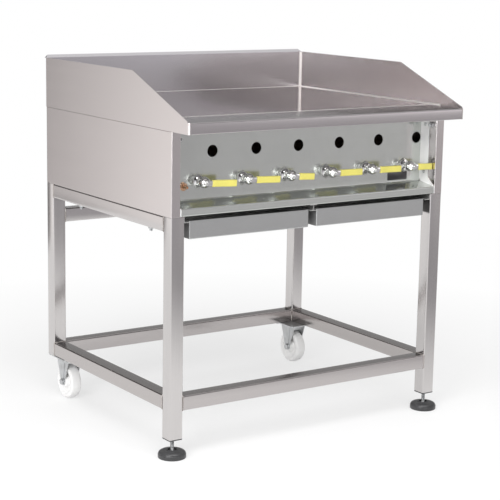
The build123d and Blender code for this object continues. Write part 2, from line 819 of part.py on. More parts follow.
# One gas tap: spigot, barrel, collar, domed bonnet, and a riser to the injector holder
bonnet_round = tap_bonnet_radius - spindle_shoulder_radius
bonnet_step = bonnet_round * 0.3
with BuildPart() as one_tap:
    with BuildSketch(Plane.XY):
        with BuildLine():
            Polyline(
                (tap_bonnet_radius, -tap_nut_length),
                (tap_barrel_radius, -tap_nut_length),
                (tap_barrel_radius, sheet),
                (tap_collar_radius, sheet),
                (tap_collar_radius, sheet + tap_collar_length),
                (tap_barrel_radius, sheet + tap_collar_length),
                (tap_barrel_radius, tap_barrel_back),
                (tap_spigot_radius, tap_barrel_back),
                (tap_spigot_radius, spigot_end),
                (0, spigot_end),
                (0, spindle_depth - tap_bonnet_length),
                (spindle_radius + running_gap, spindle_depth - tap_bonnet_length),
                (spindle_radius + running_gap, -tap_bonnet_length),
                (spindle_shoulder_radius, -tap_bonnet_length),
                (tap_bonnet_radius - bonnet_step, bonnet_step - tap_bonnet_length),
                (tap_bonnet_radius, bonnet_round - tap_bonnet_length),
                close=True,
            )
        make_face()
    revolve(axis=Axis.Y)
    with BuildSketch(Plane(origin=(0, tap_outlet_setback, 0))):
        Circle(tap_outlet_radius)
    extrude(amount=burner_height - tap_height)
    holder_start = tap_outlet_setback - tap_holder_radius
    holder_plane = Plane(
        origin=(0, holder_start, burner_height - tap_height), x_dir=(1, 0, 0), z_dir=(0, 1, 0)
    )
    with BuildSketch(holder_plane):
        Circle(tap_holder_radius)
    extrude(amount=tap_holder_length)

tap_places = [(x, panel_y, tap_z) for x in burner_xs]
with BuildPart() as tap_bodies:
    with Locations(*tap_places):
        add(one_tap.part)
save(tap_bodies, "tap_bodies")

# Panel nuts that clamp the taps from the front
with BuildPart() as tap_nuts:
    with BuildSketch(front_plane(panel_y)):
        with Locations(*[(x, tap_z) for x in burner_xs]):
            RegularPolygon(tap_nut_flats / 2, 6, major_radius=False)
            Circle(tap_barrel_radius + thread_gap, mode=Mode.SUBTRACT)
    extrude(amount=tap_nut_length)
save(tap_nuts, "tap_nuts")

# Brass injectors on the tap outlets, each aimed into a burner's mouth
with BuildPart() as injectors:
    for x in burner_xs:
        with BuildSketch(Plane(origin=(x, panel_y + injector_start, burner_z))):
            with BuildLine():
                Polyline(
                    (0, 0),
                    (injector_radius, 0),
                    (injector_radius, injector_length / 2),
                    (injector_tip_radius, injector_length),
                    (0, injector_length),
                    close=True,
                )
            make_face()
        revolve(axis=Axis((x, panel_y + injector_start, burner_z), (0, 1, 0)))
save(injectors, "injectors")

# One bar burner: a flared mouth, a throat, a mixing cone and a slotted bar closed at its end
throat_start = burner_flare
cone_start = throat_start + burner_throat_length
bar_start = cone_start + burner_cone
burner_length = burner_back_y - burner_mouth_y
with BuildPart() as one_burner:
    with BuildSketch(Plane.XY):
        with BuildLine():
            Polyline(
                (burner_mouth_radius, 0),
                (burner_throat_radius, throat_start),
                (burner_throat_radius, cone_start),
                (burner_radius, bar_start),
                (burner_radius, burner_length),
                (0, burner_length),
            )
            offset(amount=burner_wall, side=Side.LEFT)
        make_face()
    revolve(axis=Axis.Y)
    port_pitch = (burner_length - port_start - burner_rail_end_gap) / (port_count - 1)
    port_middle = port_start + port_pitch * (port_count - 1) / 2
    with BuildSketch(Plane(origin=(0, port_middle, burner_radius / 2))):
        with GridLocations(1, port_pitch, 1, port_count):
            Rectangle(port_length, port_width)
    extrude(amount=burner_radius, mode=Mode.SUBTRACT)

with BuildPart() as burners:
    with Locations(*[(x, burner_mouth_y, burner_z) for x in burner_xs]):
        add(one_burner.part)
save(burners, "burners")

# Burner rails: two folded combs that stand on the casing's flanges and cradle the burners
rail_half = inner_face - ledge_gap
rail_height = burner_z - lip_bottom
with BuildPart() as burner_rails:
    for rail_y in rail_ys:
        with BuildSketch(front_plane(rail_y)):
            with Locations((0, lip_bottom + rail_height / 2)):
                Rectangle(2 * rail_half, rail_height)
            with Locations(*[(x, burner_z) for x in burner_xs]):
                Circle(burner_radius + barrel_play, mode=Mode.SUBTRACT)
            with Locations((manifold_right, tap_z)):
                Circle(manifold_radius + barrel_play, mode=Mode.SUBTRACT)
        extrude(amount=burner_rail_sheet)
        with BuildSketch(Plane.XY.offset(lip_bottom)):
            with Locations((0, rail_y - burner_rail_foot / 2)):
                Rectangle(2 * rail_half, burner_rail_foot)
        extrude(amount=burner_rail_sheet)
save(burner_rails, "burner_rails")

# Tap levers: spindle, shoulder, flat lever strip and its nut; grips: moulded sleeves over the strips
for number, x in enumerate(burner_xs):
    grip_length = grip_short if number in short_levers else grip_long
    strip_end = grip_start + grip_length - grip_end_wall
    tap_place = Plane((x, lever_y, tap_z)).rotated((0, lever_droops[number], 0))
    along = tap_place.x_dir
    lever_back = lever_y + lever_thickness / 2
    lever_front = lever_y - lever_thickness / 2
    spindle_end = panel_y - tap_bonnet_length + spindle_depth - barrel_play
    shoulder_back = panel_y - tap_bonnet_length - barrel_play
    with BuildPart() as tap_lever:
        with BuildSketch(Plane(origin=(x, lever_back, tap_z), x_dir=(1, 0, 0), z_dir=(0, 1, 0))):
            Circle(spindle_radius)
        extrude(amount=spindle_end - lever_back)
        with BuildSketch(Plane(origin=(x, lever_back, tap_z), x_dir=(1, 0, 0), z_dir=(0, 1, 0))):
            Circle(spindle_shoulder_radius)
        extrude(amount=shoulder_back - lever_back)
        strip_plane = Plane(origin=(x, lever_back, tap_z), x_dir=along, z_dir=(0, -1, 0))
        with BuildSketch(strip_plane):
            Circle(lever_width / 2)
            with Locations((strip_end / 2, 0)):
                Rectangle(strip_end, lever_width)
        extrude(amount=lever_thickness)
        with BuildSketch(strip_plane.offset(lever_thickness)):
            RegularPolygon(lever_nut_flats / 2, 6, major_radius=False)
        extrude(amount=lever_nut_length)
    save(tap_lever, f"tap_lever_{number + 1}")

    with BuildPart() as tap_grip:
        grip_plane = Plane(origin=tap_place.from_local_coords((grip_start, 0, 0)), x_dir=(0, -1, 0), z_dir=along)
        with BuildSketch(grip_plane):
            RectangleRounded(grip_thickness, grip_height, grip_corner)
        extrude(amount=grip_length)
        fillet(tap_grip.faces().sort_by(Axis.X)[-1].edges(), radius=grip_corner / 2)
        with BuildSketch(grip_plane):
            Rectangle(lever_thickness + 2 * grip_play, lever_width + 2 * grip_play)
        extrude(amount=strip_end - grip_start, mode=Mode.SUBTRACT)
    save(tap_grip, f"tap_grip_{number + 1}")

# Drip trays: folded open boxes with a rim on each side that slides on the runner ledges
for side, sign in sides:
    outer_rim = tray_side_gap - runner_sheet - runner_play
    inner_rim = tray_gap / 2 - runner_sheet / 2 - runner_play
    tray_plane = Plane(origin=(sign * tray_x, tray_front + tray_depth / 2, tray_bottom))
    with BuildPart() as drip_tray:
        with BuildSketch(tray_plane):
            Rectangle(tray_width, tray_depth)
        extrude(amount=tray_height)
        fillet(drip_tray.edges().filter_by(Axis.Z), radius=tray_corner)
        fillet(drip_tray.edges().group_by(Axis.Z)[0], radius=tray_bottom_round)
        offset(amount=-tray_sheet, openings=drip_tray.faces().sort_by(Axis.Z)[-1])
        with BuildSketch(tray_plane.offset(tray_height - tray_sheet)):
            with Locations((sign * (tray_width / 2 + outer_rim / 2 - tray_sheet / 2), 0)):
                Rectangle(outer_rim + tray_sheet, tray_depth - 2 * tray_corner)
            with Locations((-sign * (tray_width / 2 + inner_rim / 2 - tray_sheet / 2), 0)):
                Rectangle(inner_rim + tray_sheet, tray_depth - 2 * tray_corner)
            with Locations((0, tray_pull_depth / 2 - tray_depth / 2)):
                Rectangle(tray_width - 2 * tray_corner, tray_pull_depth)
        extrude(amount=tray_sheet)
    save(drip_tray, f"drip_tray_{side}")

# Tray runners: an angle on each stand side, and a double-ledged hanger under the casing's middle
runner_start = casing_front + runner_front_inset
ledge_bottom = ledge_top - runner_sheet
for side, sign in sides:
    with BuildPart() as tray_runner:
        with BuildSketch(Plane.XZ.offset(-runner_start)):
            with BuildLine():
                Polyline(
                    (sign * leg_inner, casing_bottom - runner_top_gap),
                    (sign * leg_inner, ledge_bottom),
                    (sign * (leg_inner - tray_side_gap + ledge_gap), ledge_bottom),
                )
                offset(amount=runner_sheet, side=Side.RIGHT if sign > 0 else Side.LEFT)
            make_face()
        extrude(amount=-runner_length)
    save(tray_runner, f"tray_runner_{side}")

hanger_top = casing_bottom + sheet
ledge_half = tray_gap / 2 - ledge_gap
with BuildPart() as tray_hanger:
    with BuildSketch(Plane.XZ.offset(-runner_start)):
        with Locations((0, (hanger_top + ledge_bottom) / 2)):
            Rectangle(runner_sheet, hanger_top - ledge_bottom)
        with Locations((0, ledge_bottom + runner_sheet / 2)):
            Rectangle(2 * ledge_half, runner_sheet)
        with Locations((0, hanger_top - runner_sheet / 2)):
            Rectangle(2 * ledge_half, runner_sheet)
    extrude(amount=-runner_length)
save(tray_hanger, "tray_runner_centre")
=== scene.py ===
import logging
import math
from dataclasses import dataclass, field
from enum import Enum
from typing import Any, Mapping, Sequence

import bmesh
import bpy
import numpy as np
from mathutils import Matrix, Vector


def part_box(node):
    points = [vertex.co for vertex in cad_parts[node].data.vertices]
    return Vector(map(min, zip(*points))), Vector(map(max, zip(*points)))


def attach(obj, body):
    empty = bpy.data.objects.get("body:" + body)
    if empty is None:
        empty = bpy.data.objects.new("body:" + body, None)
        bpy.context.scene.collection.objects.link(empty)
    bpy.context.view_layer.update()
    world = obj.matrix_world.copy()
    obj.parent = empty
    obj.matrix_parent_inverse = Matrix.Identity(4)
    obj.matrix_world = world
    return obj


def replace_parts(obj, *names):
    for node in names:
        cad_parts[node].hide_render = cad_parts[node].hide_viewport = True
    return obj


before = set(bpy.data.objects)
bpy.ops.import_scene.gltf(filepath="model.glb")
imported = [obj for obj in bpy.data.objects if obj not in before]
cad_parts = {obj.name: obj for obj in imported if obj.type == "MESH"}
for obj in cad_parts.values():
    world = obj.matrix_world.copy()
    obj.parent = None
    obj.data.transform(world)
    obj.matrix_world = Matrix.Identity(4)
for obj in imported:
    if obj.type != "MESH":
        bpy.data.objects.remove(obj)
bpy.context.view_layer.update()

LOG = logging.getLogger("griddle")
MM = 0.001
POLE = 0.2 * MM  # radius at which a turned piece closes on its axis
SHEET = 1.5 * MM
SIGNS = (-1, 1)
Array = np.ndarray
Colour = tuple[float, float, float]
Span = tuple[float, float]
Pairs = list[Span]
Point = Sequence[float]
Stops = tuple[tuple[float, Colour], ...]


class Axis3(Enum):
    """The row axis that a grain or a tube follows."""

    X = 0
    Y = 1
    Z = 2


class Facing(Enum):
    """Local first and second axes of a piece whose third axis points that way."""

    UP = ((1, 0, 0), (0, 1, 0))
    DOWN = ((1, 0, 0), (0, -1, 0))
    FRONT = ((1, 0, 0), (0, 0, 1))
    BACK = ((0, 0, 1), (1, 0, 0))
    LEFT = ((0, 1, 0), (0, 0, -1))
    RIGHT = ((0, 1, 0), (0, 0, 1))


# Surfaces


@dataclass
class Shape:
    """Points and faces of one surface, in metres."""

    points: Array
    faces: list[list[int]]

    def __add__(self, other: "Shape") -> "Shape":
        """Both surfaces as one, with the second one's faces renumbered.

        Args:
            other: The second surface.

        Returns:
            A new surface.
        """
        shift = len(self.points)
        moved = [[index + shift for index in face] for face in other.faces]
        return Shape(np.vstack([self.points, other.points]), self.faces + moved)

    def placed(self, origin: Point, x_axis: Point, y_axis: Point) -> "Shape":
        """The surface carried into a local frame, whose third axis is x_axis cross y_axis."""
        axes = np.array([x_axis, y_axis, np.cross(x_axis, y_axis)], float)
        return Shape(self.points @ axes + np.asarray(origin, float), self.faces)

    def facing(self, origin: Point, way: Facing) -> "Shape":
        """The surface at a place, with its third axis turned a named way."""
        return self.placed(origin, *way.value)

    def moved(self, offset: Point) -> "Shape":
        """The surface shifted by an offset."""
        return Shape(self.points + np.asarray(offset, float), self.faces)


def joined(shapes: Sequence[Shape]) -> Shape:
    """One surface that holds several, at least one."""
    return sum(shapes[1:], start=shapes[0])


def grid(points: Array, close_u: bool = False, close_v: bool = False, caps: bool = False) -> Shape:
    """Quads over a grid of points: face (i, j) joins rows i and i + 1 and columns j and j + 1.

    Args:
        points: Array of rows, columns and coordinates.
        close_u: Whether the last row joins the first.
        close_v: Whether the last column joins the first.
        caps: Whether the first and last rows are closed by one face each.

    Returns:
        The surface.
    """
    rows, columns = points.shape[:2]
    i = np.arange(rows if close_u else rows - 1)[:, None]
    j = np.arange(columns if close_v else columns - 1)[None, :]
    below, after = ((i + 1) % rows) * columns, (j + 1) % columns
    corners = (i * columns + j, below + j, below + after, i * columns + after)
    faces = np.stack(np.broadcast_arrays(*corners), -1).reshape(-1, 4).tolist()
    if caps:
        faces.append(list(range(columns))[::-1])
        faces.append(list(range((rows - 1) * columns, rows * columns)))
    return Shape(points.reshape(-1, 3), faces)


def carried(loop: Array, along: Point) -> Shape:
    """A loop of points carried along a straight line and capped: loop + t along, t = 0 and 1."""
    return grid(np.stack([loop, loop + np.asarray(along, float)]), close_v=True, caps=True)


def revolved(radius: Array, level: Array, bore: float = 0.0, ring: bool = False) -> Shape:
    """Rings of points (r cos t, r sin t, h), with one row of radii r at each height h.

    Args:
        radius: Rows of radii over equal steps of the full turn.
        level: Height of each row along local z.
        bore: Radius of a through hole, or 0 for none.
        ring: Whether the last row joins the first, as on a wheel with a bore.

    Returns:
        The closed surface.
    """
    if bore:
        hole = np.full((1, radius.shape[1]), bore)
        radius = np.vstack([hole, radius, hole])
        level = np.concatenate([level[:1], level, level[-1:]])
    turn = np.linspace(0, math.tau, radius.shape[1], endpoint=False)
    rows = np.broadcast_arrays(radius * np.cos(turn), radius * np.sin(turn), level[:, None])
    closed = ring or bool(bore)
    return grid(np.stack(rows, -1), close_u=closed, close_v=True, caps=not closed)


def lathe(profile: Pairs, steps: int = 64, ring: bool = False) -> Shape:
    """A profile of (radius, height) pairs turned about local z, in steps of the full turn."""
    pairs = np.asarray(profile, float)
    return revolved(np.repeat(pairs[:, :1], steps, axis=1), pairs[:, 1], ring=ring)


def arc(centre: Point, radius: float, start: float, end: float, steps: int = 8) -> Pairs:
    """Points of a plane arc: centre + radius (cos a, sin a), a from start to end in degrees."""
    angle = np.radians(np.linspace(start, end, steps + 1))
    return list(zip(centre[0] + radius * np.cos(angle), centre[1] + radius * np.sin(angle)))


def rounded_outline(width: float, height: float, corner: float, steps: int = 6) -> Array:
    """A rectangle with round corners as a counter-clockwise loop of quarter arcs.

    Args:
        width: Size along the first axis.
        height: Size along the second axis.
        corner: Corner radius.
        steps: Chords in each quarter.

    Returns:
        Loop points, two columns.
    """
    angle = np.radians(np.arange(4)[:, None] * 90 + np.linspace(0, 90, steps + 1)[None, :])
    signs = np.array([[1, 1], [-1, 1], [-1, -1], [1, -1]], float)
    centres = signs * (np.array([width, height]) / 2 - corner)
    loop = centres[:, None, :] + corner * np.stack([np.cos(angle), np.sin(angle)], -1)
    return loop.reshape(-1, 2)


def outward(loop: Array) -> Array:
    """Unit normals of a counter-clockwise plane loop: the chord between neighbours, turned.

    Args:
        loop: Loop points, two columns.

    Returns:
        One normal for each point.
    """
    along = np.roll(loop, -1, 0) - np.roll(loop, 1, 0)
    along /= np.maximum(np.linalg.norm(along, axis=1, keepdims=True), 1e-12)
    return np.stack([along[:, 1], -along[:, 0]], -1)


def slab(outline: Array, thickness: float, edge: float, steps: int = 4) -> Shape:
    """A flat plate whose rim is rounded: loop k is the outline drawn in by edge (1 - sin a).

    Args:
        outline: Counter-clockwise loop, two columns.
        thickness: Plate thickness along local z, from 0.
        edge: Rounding radius of both rims.
        steps: Chords of each rounding.

    Returns:
        The closed plate.
    """
    angle = np.linspace(0, math.pi / 2, steps + 1)
    inset, rise = edge * (1 - np.sin(angle)), edge * (1 - np.cos(angle))
    insets = np.concatenate([inset, inset[::-1]])
    heights = np.concatenate([rise, thickness - rise[::-1]])
    plane = outline[None] - insets[:, None, None] * outward(outline)[None]
    level = np.broadcast_to(heights[:, None, None], plane.shape[:2] + (1,))
    return grid(np.concatenate([plane, level], -1), close_v=True, caps=True)


def hexagon(flats: float, height: float, chamfer: float, bore: float = 0.0) -> Shape:
    """A hexagon prism with turned ends: radius min(flats / 2 / cos((t + 30) mod 60 - 30), cone).

    Args:
        flats: Size across flats.
        height: Height along local z, from 0.
        chamfer: Height of the turned cone at each end.
        bore: Radius of a through hole, or 0 for none.

    Returns:
        The closed prism.
    """
    turn = np.linspace(0, math.tau, 72, endpoint=False)
    sides = flats / 2 / np.cos((turn + math.pi / 6) % (math.pi / 3) - math.pi / 6)
    cone = flats * np.array([0.485, 1, 1, 0.485])
    level = np.array([0, chamfer, height - chamfer, height])
    return revolved(np.minimum(sides[None], cone[:, None]), level, bore)


def thread(radius: float, length: float, pitch: float, depth: float, bore: float = 0.0) -> Shape:
    """A screw thread: radius - depth |2 frac(h / pitch - t) - 1| over turn t and height h.

    Args:
        radius: Crest radius.
        length: Length along local z, from 0.
        pitch: Rise of one turn.
        depth: Crest to root.
        bore: Radius of a through hole, or 0 for none.

    Returns:
        The closed threaded rod or pipe.
    """
    turn = np.linspace(0, 1, 36, endpoint=False)
    level = np.linspace(0, length, int(length / pitch * 6) + 1)
    height = level[:, None]
    tooth = np.abs(2 * ((height / pitch - turn) % 1) - 1)
    ends = np.minimum(np.minimum(height, length - height) / pitch, 1)
    return revolved((radius - depth) + depth * (1 - tooth) * ends, level, bore)


def cross_screw(radius: float, height: float, slot: float) -> Shape:
    """A pan head with a cross recess: height (1 - 0.55 (r / R)^6), less a cross of two bands.

    Args:
        radius: Head radius.
        height: Head height above local z = 0.
        slot: Half width of each band.

    Returns:
        The closed head.
    """
    ring = np.linspace(0.04, 1, 26)[:, None] * radius
    turn = np.linspace(0, math.tau, 64, endpoint=False)
    x, y = ring * np.cos(turn), ring * np.sin(turn)
    narrow, wide = np.minimum(np.abs(x), np.abs(y)), np.maximum(np.abs(x), np.abs(y))
    wall, reach = slot * 0.4, radius * 0.62
    inside = np.clip((slot - narrow) / wall, 0, 1) * np.clip((reach - wide) / wall, 0, 1)
    dome = height * (1 - (ring / radius) ** 6 * 0.55)
    top = np.stack([x, y, dome - inside * height * 0.6], -1)
    base = np.stack([x[-1], y[-1], np.zeros_like(turn)], -1)[None]
    return grid(np.concatenate([top, base]), close_v=True, caps=True)


def bead(loop: Array, level: float, size: float, ripple: float) -> Shape:
    """A weld bead: a small circle carried round a loop, swelling with cos(2 pi s / ripple).

    Args:
        loop: Closed plane loop, two columns.
        level: Local z of the bead's middle.
        size: Bead radius.
        ripple: Length of one ripple along the loop.

    Returns:
        The closed ring.
    """
    step = np.linalg.norm(np.roll(loop, -1, 0) - loop, axis=1)
    run = np.concatenate([[0], np.cumsum(step)])
    count = max(24, int(run[-1] / ripple * 4))
    place = np.linspace(0, run[-1], count, endpoint=False)
    closed = np.vstack([loop, loop[:1]])
    path = np.stack([np.interp(place, run, closed[:, k]) for k in range(2)], -1)
    swell = size * (1 + 0.16 * np.cos(place / ripple * math.tau))
    turn = np.linspace(0, math.tau, 8, endpoint=False)
    plane = path[:, None] + (swell[:, None] * np.cos(turn))[..., None] * outward(path)[:, None]
    height = level + swell[:, None] * np.sin(turn)
    return grid(np.concatenate([plane, height[..., None]], -1), close_u=True, close_v=True)


def washer(radius: float, bore: float, thickness: float) -> Shape:
    """A flat ring with broken edges, turned from a closed profile.

    Args:
        radius: Outer radius.
        bore: Hole radius.
        thickness: Thickness along local z, from 0.

    Returns:
        The closed ring.
    """
    soft = thickness * 0.25
    profile = [(bore, 0), (radius - soft, 0), (radius, soft), (radius, thickness - soft)]
    return lathe(profile + [(radius - soft, thickness), (bore, thickness)], 40, ring=True)


def cove(corner: Point, first: Point, second: Point, along: Point, radius: float) -> Shape:
    """A hollow quarter round: corner + r ((1 - cos a) first + (1 - sin a) second), carried along.

    Args:
        corner: Start of the inner corner's line.
        first: Unit direction away from the corner on one face.
        second: Unit direction away from the corner on the other face.
        along: The corner line, from start to end.
        radius: Radius of the hollow.

    Returns:
        The closed strip.
    """
    angle = np.radians(np.linspace(0, 90, 9))[:, None]
    corner, first, second = (np.asarray(value, float) for value in (corner, first, second))
    hollow = corner + radius * ((1 - np.cos(angle)) * first + (1 - np.sin(angle)) * second)
    return carried(np.vstack([corner, hollow]), along)


def sleeve(length: float, height: float, thickness: float, corner: float) -> Shape:
    """A dipped grip: a rounded oblong carried along local x, with a quarter round at each end.

    Args:
        length: Length from local x = 0.
        height: Size along local y.
        thickness: Size along local z.
        corner: Corner radius of the section.

    Returns:
        The closed sleeve.
    """
    mouth, tip, sag, wave = corner * 0.4, corner * 0.8, 0.1 * MM, 9 * MM
    angle = np.linspace(0, math.pi / 2, 7)
    near = mouth * np.stack([1 - np.cos(angle), 1 - np.sin(angle)], -1)
    far = tip * np.stack([np.sin(angle), 1 - np.cos(angle)], -1) + np.array([length - tip, 0])
    along = np.linspace(corner, length - 2 * corner, 40)
    middle = np.stack([along, sag * (1 - np.cos(along / wave))], -1)
    run, inset = np.concatenate([near, middle, far]).T
    scale = 1 - 2 * inset[:, None, None] / np.array([height, thickness])
    plane = rounded_outline(height, thickness, corner)[None] * scale
    level = np.broadcast_to(run[:, None, None], plane.shape[:2] + (1,))
    return grid(np.concatenate([level, plane], -1), close_v=True, caps=True)


# Shader maths


class Field:
    """One node output that takes part in plain arithmetic."""

    def __init__(self, graph: "Graph", socket: bpy.types.NodeSocket) -> None:
        """Wrap an output socket of a graph."""
        self.graph = graph
        self.socket = socket

    def _math(self, operation: str, first: Any, second: Any) -> "Field":
        """A Math node on two values."""
        return self.graph.node("ShaderNodeMath", {"operation": operation}, {0: first, 1: second})

    def __add__(self, other: Any) -> "Field":
        """Sum."""
        return self._math("ADD", self, other)

    def __radd__(self, other: Any) -> "Field":
        """Sum, reflected."""
        return self._math("ADD", other, self)

    def __sub__(self, other: Any) -> "Field":
        """Difference."""
        return self._math("SUBTRACT", self, other)

    def __rsub__(self, other: Any) -> "Field":
        """Difference, reflected."""
        return self._math("SUBTRACT", other, self)

    def __mul__(self, other: Any) -> "Field":
        """Product."""
        return self._math("MULTIPLY", self, other)

    def __rmul__(self, other: Any) -> "Field":
        """Product, reflected."""
        return self._math("MULTIPLY", other, self)


class Graph:
    """The node tree of one finish or of the world."""

    def __init__(self, tree: bpy.types.NodeTree) -> None:
        """Hold a node tree."""
        self.tree = tree

    def node(self, kind: str, settings: Mapping[str, Any] | None = None,
             inputs: Mapping[Any, Any] | None = None, output: int | str = 0) -> Field:
        """Add any node: its settings first, then its sockets.

        Args:
            kind: Node type.
            settings: Attributes of the node, and "stops" for a ramp's (place, colour) pairs.
            inputs: Values or fields by socket name or number.
            output: The output that the field stands for.

        Returns:
            The chosen output.
        """
        made = self.tree.nodes.new(kind)
        for key, value in (settings or {}).items():
            if key == "stops":
                self.ramp(made.color_ramp.elements, value)
            else:
                setattr(made, key, value)
        for key, value in (inputs or {}).items():
            self.feed(made.inputs[key], value)
        return Field(self, made.outputs[output])

    def ramp(self, elements: bpy.types.ColorRampElements, stops: Stops) -> None:
        """Set a ramp's stops; the first two take the ones that a new ramp has.

        Args:
            elements: The ramp's stops.
            stops: Places and colours.
        """
        for index, (place, colour) in enumerate(stops):
            stop = elements[index] if index < 2 else elements.new(place)
            stop.position, stop.color = place, (*colour, 1.0)

    def feed(self, socket: bpy.types.NodeSocket, value: Any) -> None:
        """Link a field to a socket, or set a plain value on it.

        Args:
            socket: The socket.
            value: A field, a number, a vector or a colour.
        """
        if isinstance(value, Field):
            self.tree.links.new(value.socket, socket)
        elif isinstance(value, tuple) and len(value) == 3 and socket.type == "RGBA":
            socket.default_value = (*value, 1.0)
        else:
            socket.default_value = value

    def place(self, scale: float | Point) -> Field:
        """Object coordinates, scaled per axis in cycles per metre."""
        inputs = {"Vector": self.coordinates("Object"), "Scale": np.broadcast_to(scale, 3).tolist()}
        return self.node("ShaderNodeMapping", inputs=inputs)

    def coordinates(self, kind: str) -> Field:
        """One kind of texture coordinates."""
        return self.node("ShaderNodeTexCoord", output=kind)

    def split(self, vector: Field) -> dict[str, Field]:
        """The three parts of a vector, by axis name."""
        parts = self.node("ShaderNodeSeparateXYZ", inputs={0: vector}).socket.node.outputs
        return {axis.name: Field(self, parts[axis.name]) for axis in Axis3}

    def noise(self, scale: float | Point, detail: float, roughness: float = 0.5) -> Field:
        """Noise from 0 to 1 on object coordinates."""
        look = {"Scale": 1.0, "Detail": detail, "Roughness": roughness}
        return self.node("ShaderNodeTexNoise", None, {"Vector": self.place(scale)} | look)

    def cells(self, scale: float) -> Field:
        """Voronoi cells on object coordinates, each in its own random colour."""
        inputs = {"Vector": self.place(scale), "Scale": 1.0}
        return self.node("ShaderNodeTexVoronoi", None, inputs, "Color")

    def remap(self, value: Field, low: float, high: float, to_low: float = 0.0,
              to_high: float = 1.0) -> Field:
        """Clamped straight-line change of range."""
        ends = {"From Min": low, "From Max": high, "To Min": to_low, "To Max": to_high}
        return self.node("ShaderNodeMapRange", {"clamp": True}, {"Value": value} | ends)

    def blend(self, factor: Any, first: Any, second: Any) -> Field:
        """Mix two colours."""
        inputs = {0: factor, 6: first, 7: second}
        return self.node("ShaderNodeMix", {"data_type": "RGBA"}, inputs, 2)

    def bump(self, height: Field, strength: float, distance: float) -> Field:
        """Normal from a height field."""
        inputs = {"Height": height, "Strength": strength, "Distance": distance}
        return self.node("ShaderNodeBump", inputs=inputs)

    def seen(self) -> Field:
        """1 for rays that show the background itself, 0 for rays that only light the object.

        Returns:
            The mask.
        """
        camera, glossy, through = (self.node("ShaderNodeLightPath", output=f"Is {kind} Ray")
                                   for kind in ("Camera", "Glossy", "Transmission"))
        inputs = {0: camera + glossy + through, 1: 1.0}
        return self.node("ShaderNodeMath", {"operation": "MINIMUM"}, inputs)


class Surface(Graph):
    """The node tree of one finish, with its shader."""

    def __init__(self, name: str, constants: Mapping[str, Any]) -> None:
        """Start a finish with its constant sockets.

        Args:
            name: Material name.
            constants: Values of the shader's own sockets.
        """
        self.material = bpy.data.materials.new(name)
        self.material.use_nodes = True
        super().__init__(self.material.node_tree)
        self.shader = self.tree.nodes["Principled BSDF"]
        self.wear(constants)

    def wear(self, sockets: Mapping[str, Any]) -> bpy.types.Material:
        """Feed the shader's sockets.

        Args:
            sockets: Values or fields by socket name.

        Returns:
            The material.
        """
        for key, value in sockets.items():
            self.feed(self.shader.inputs[key], value)
        return self.material


def toned(colour: Colour, factor: float) -> Colour:
    """A colour made lighter or darker."""
    return tuple(min(1.0, channel * factor) for channel in colour)


def stretched(across: float, along: float, grain: Axis3) -> Point:
    """Noise scale that is fine across a grain and long along it."""
    return tuple(along if axis is grain else across for axis in Axis3)


# Finishes


@dataclass(frozen=True)
class BrushedSteel:
    """Stainless sheet or tube with a linear grain, faint streaks and hand smudges.

    Hairline, band and wave are noise scales across and along the grain, per metre.
    """

    name: str
    grain: Axis3
    colour: Colour
    roughness: float
    streak: float = 0.035
    smudge: float = 0.06
    hairline: Span = (1100, 7)
    band: Span = (75, 1.2)
    wave: Span = (9, 3)
    cloud: float = 5.5

    def build(self) -> bpy.types.Material:
        """Make the material.

        Returns:
            The material.
        """
        g = Surface(self.name, {"Metallic": 1.0})
        fine = g.noise(stretched(*self.hairline, self.grain), 2)
        broad = g.noise(stretched(*self.band, self.grain), 3, 0.6)
        cloud = g.noise(self.cloud, 4, 0.6)
        wave = g.noise(stretched(*self.wave, self.grain), 1)
        tone = g.remap(fine * 0.5 + broad * 0.25 + cloud * 0.25, 0.3, 0.7)
        dark, light = toned(self.colour, 1 - self.streak), toned(self.colour, 1 + self.streak * 0.6)
        rough = self.roughness - self.smudge / 2 + cloud * self.smudge + (broad - 0.5) * 0.05
        return g.wear({
            "Base Color": g.blend(tone, dark, light),
            "Roughness": rough,
            "Normal": g.bump(wave + fine * 0.002, 0.25, 0.6 * MM),
        })


@dataclass(frozen=True)
class GriddleSteel:
    """Ground and polished plate with crossing scrape marks and a dull film of oil."""

    name: str
    colour: Colour
    roughness: float
    scrape_x: Point = (6, 900, 900)
    scrape_y: Point = (380, 5, 380)
    film: float = 4

    def build(self) -> bpy.types.Material:
        """Make the material.

        Returns:
            The material.
        """
        g = Surface(self.name, {"Metallic": 1.0})
        lines, swirl = g.noise(self.scrape_x, 2), g.noise(self.scrape_y, 2)
        film = g.noise(self.film, 5, 0.6)
        tone = g.remap(film * 0.7 + lines * 0.3, 0.3, 0.7)
        return g.wear({
            "Base Color": g.blend(tone, toned(self.colour, 0.86), toned(self.colour, 1.1)),
            "Roughness": self.roughness + film * 0.1 + (lines - 0.5) * 0.04 - 0.05,
            "Normal": g.bump(lines * 0.6 + swirl * 0.4, 0.012, 0.2 * MM),
        })


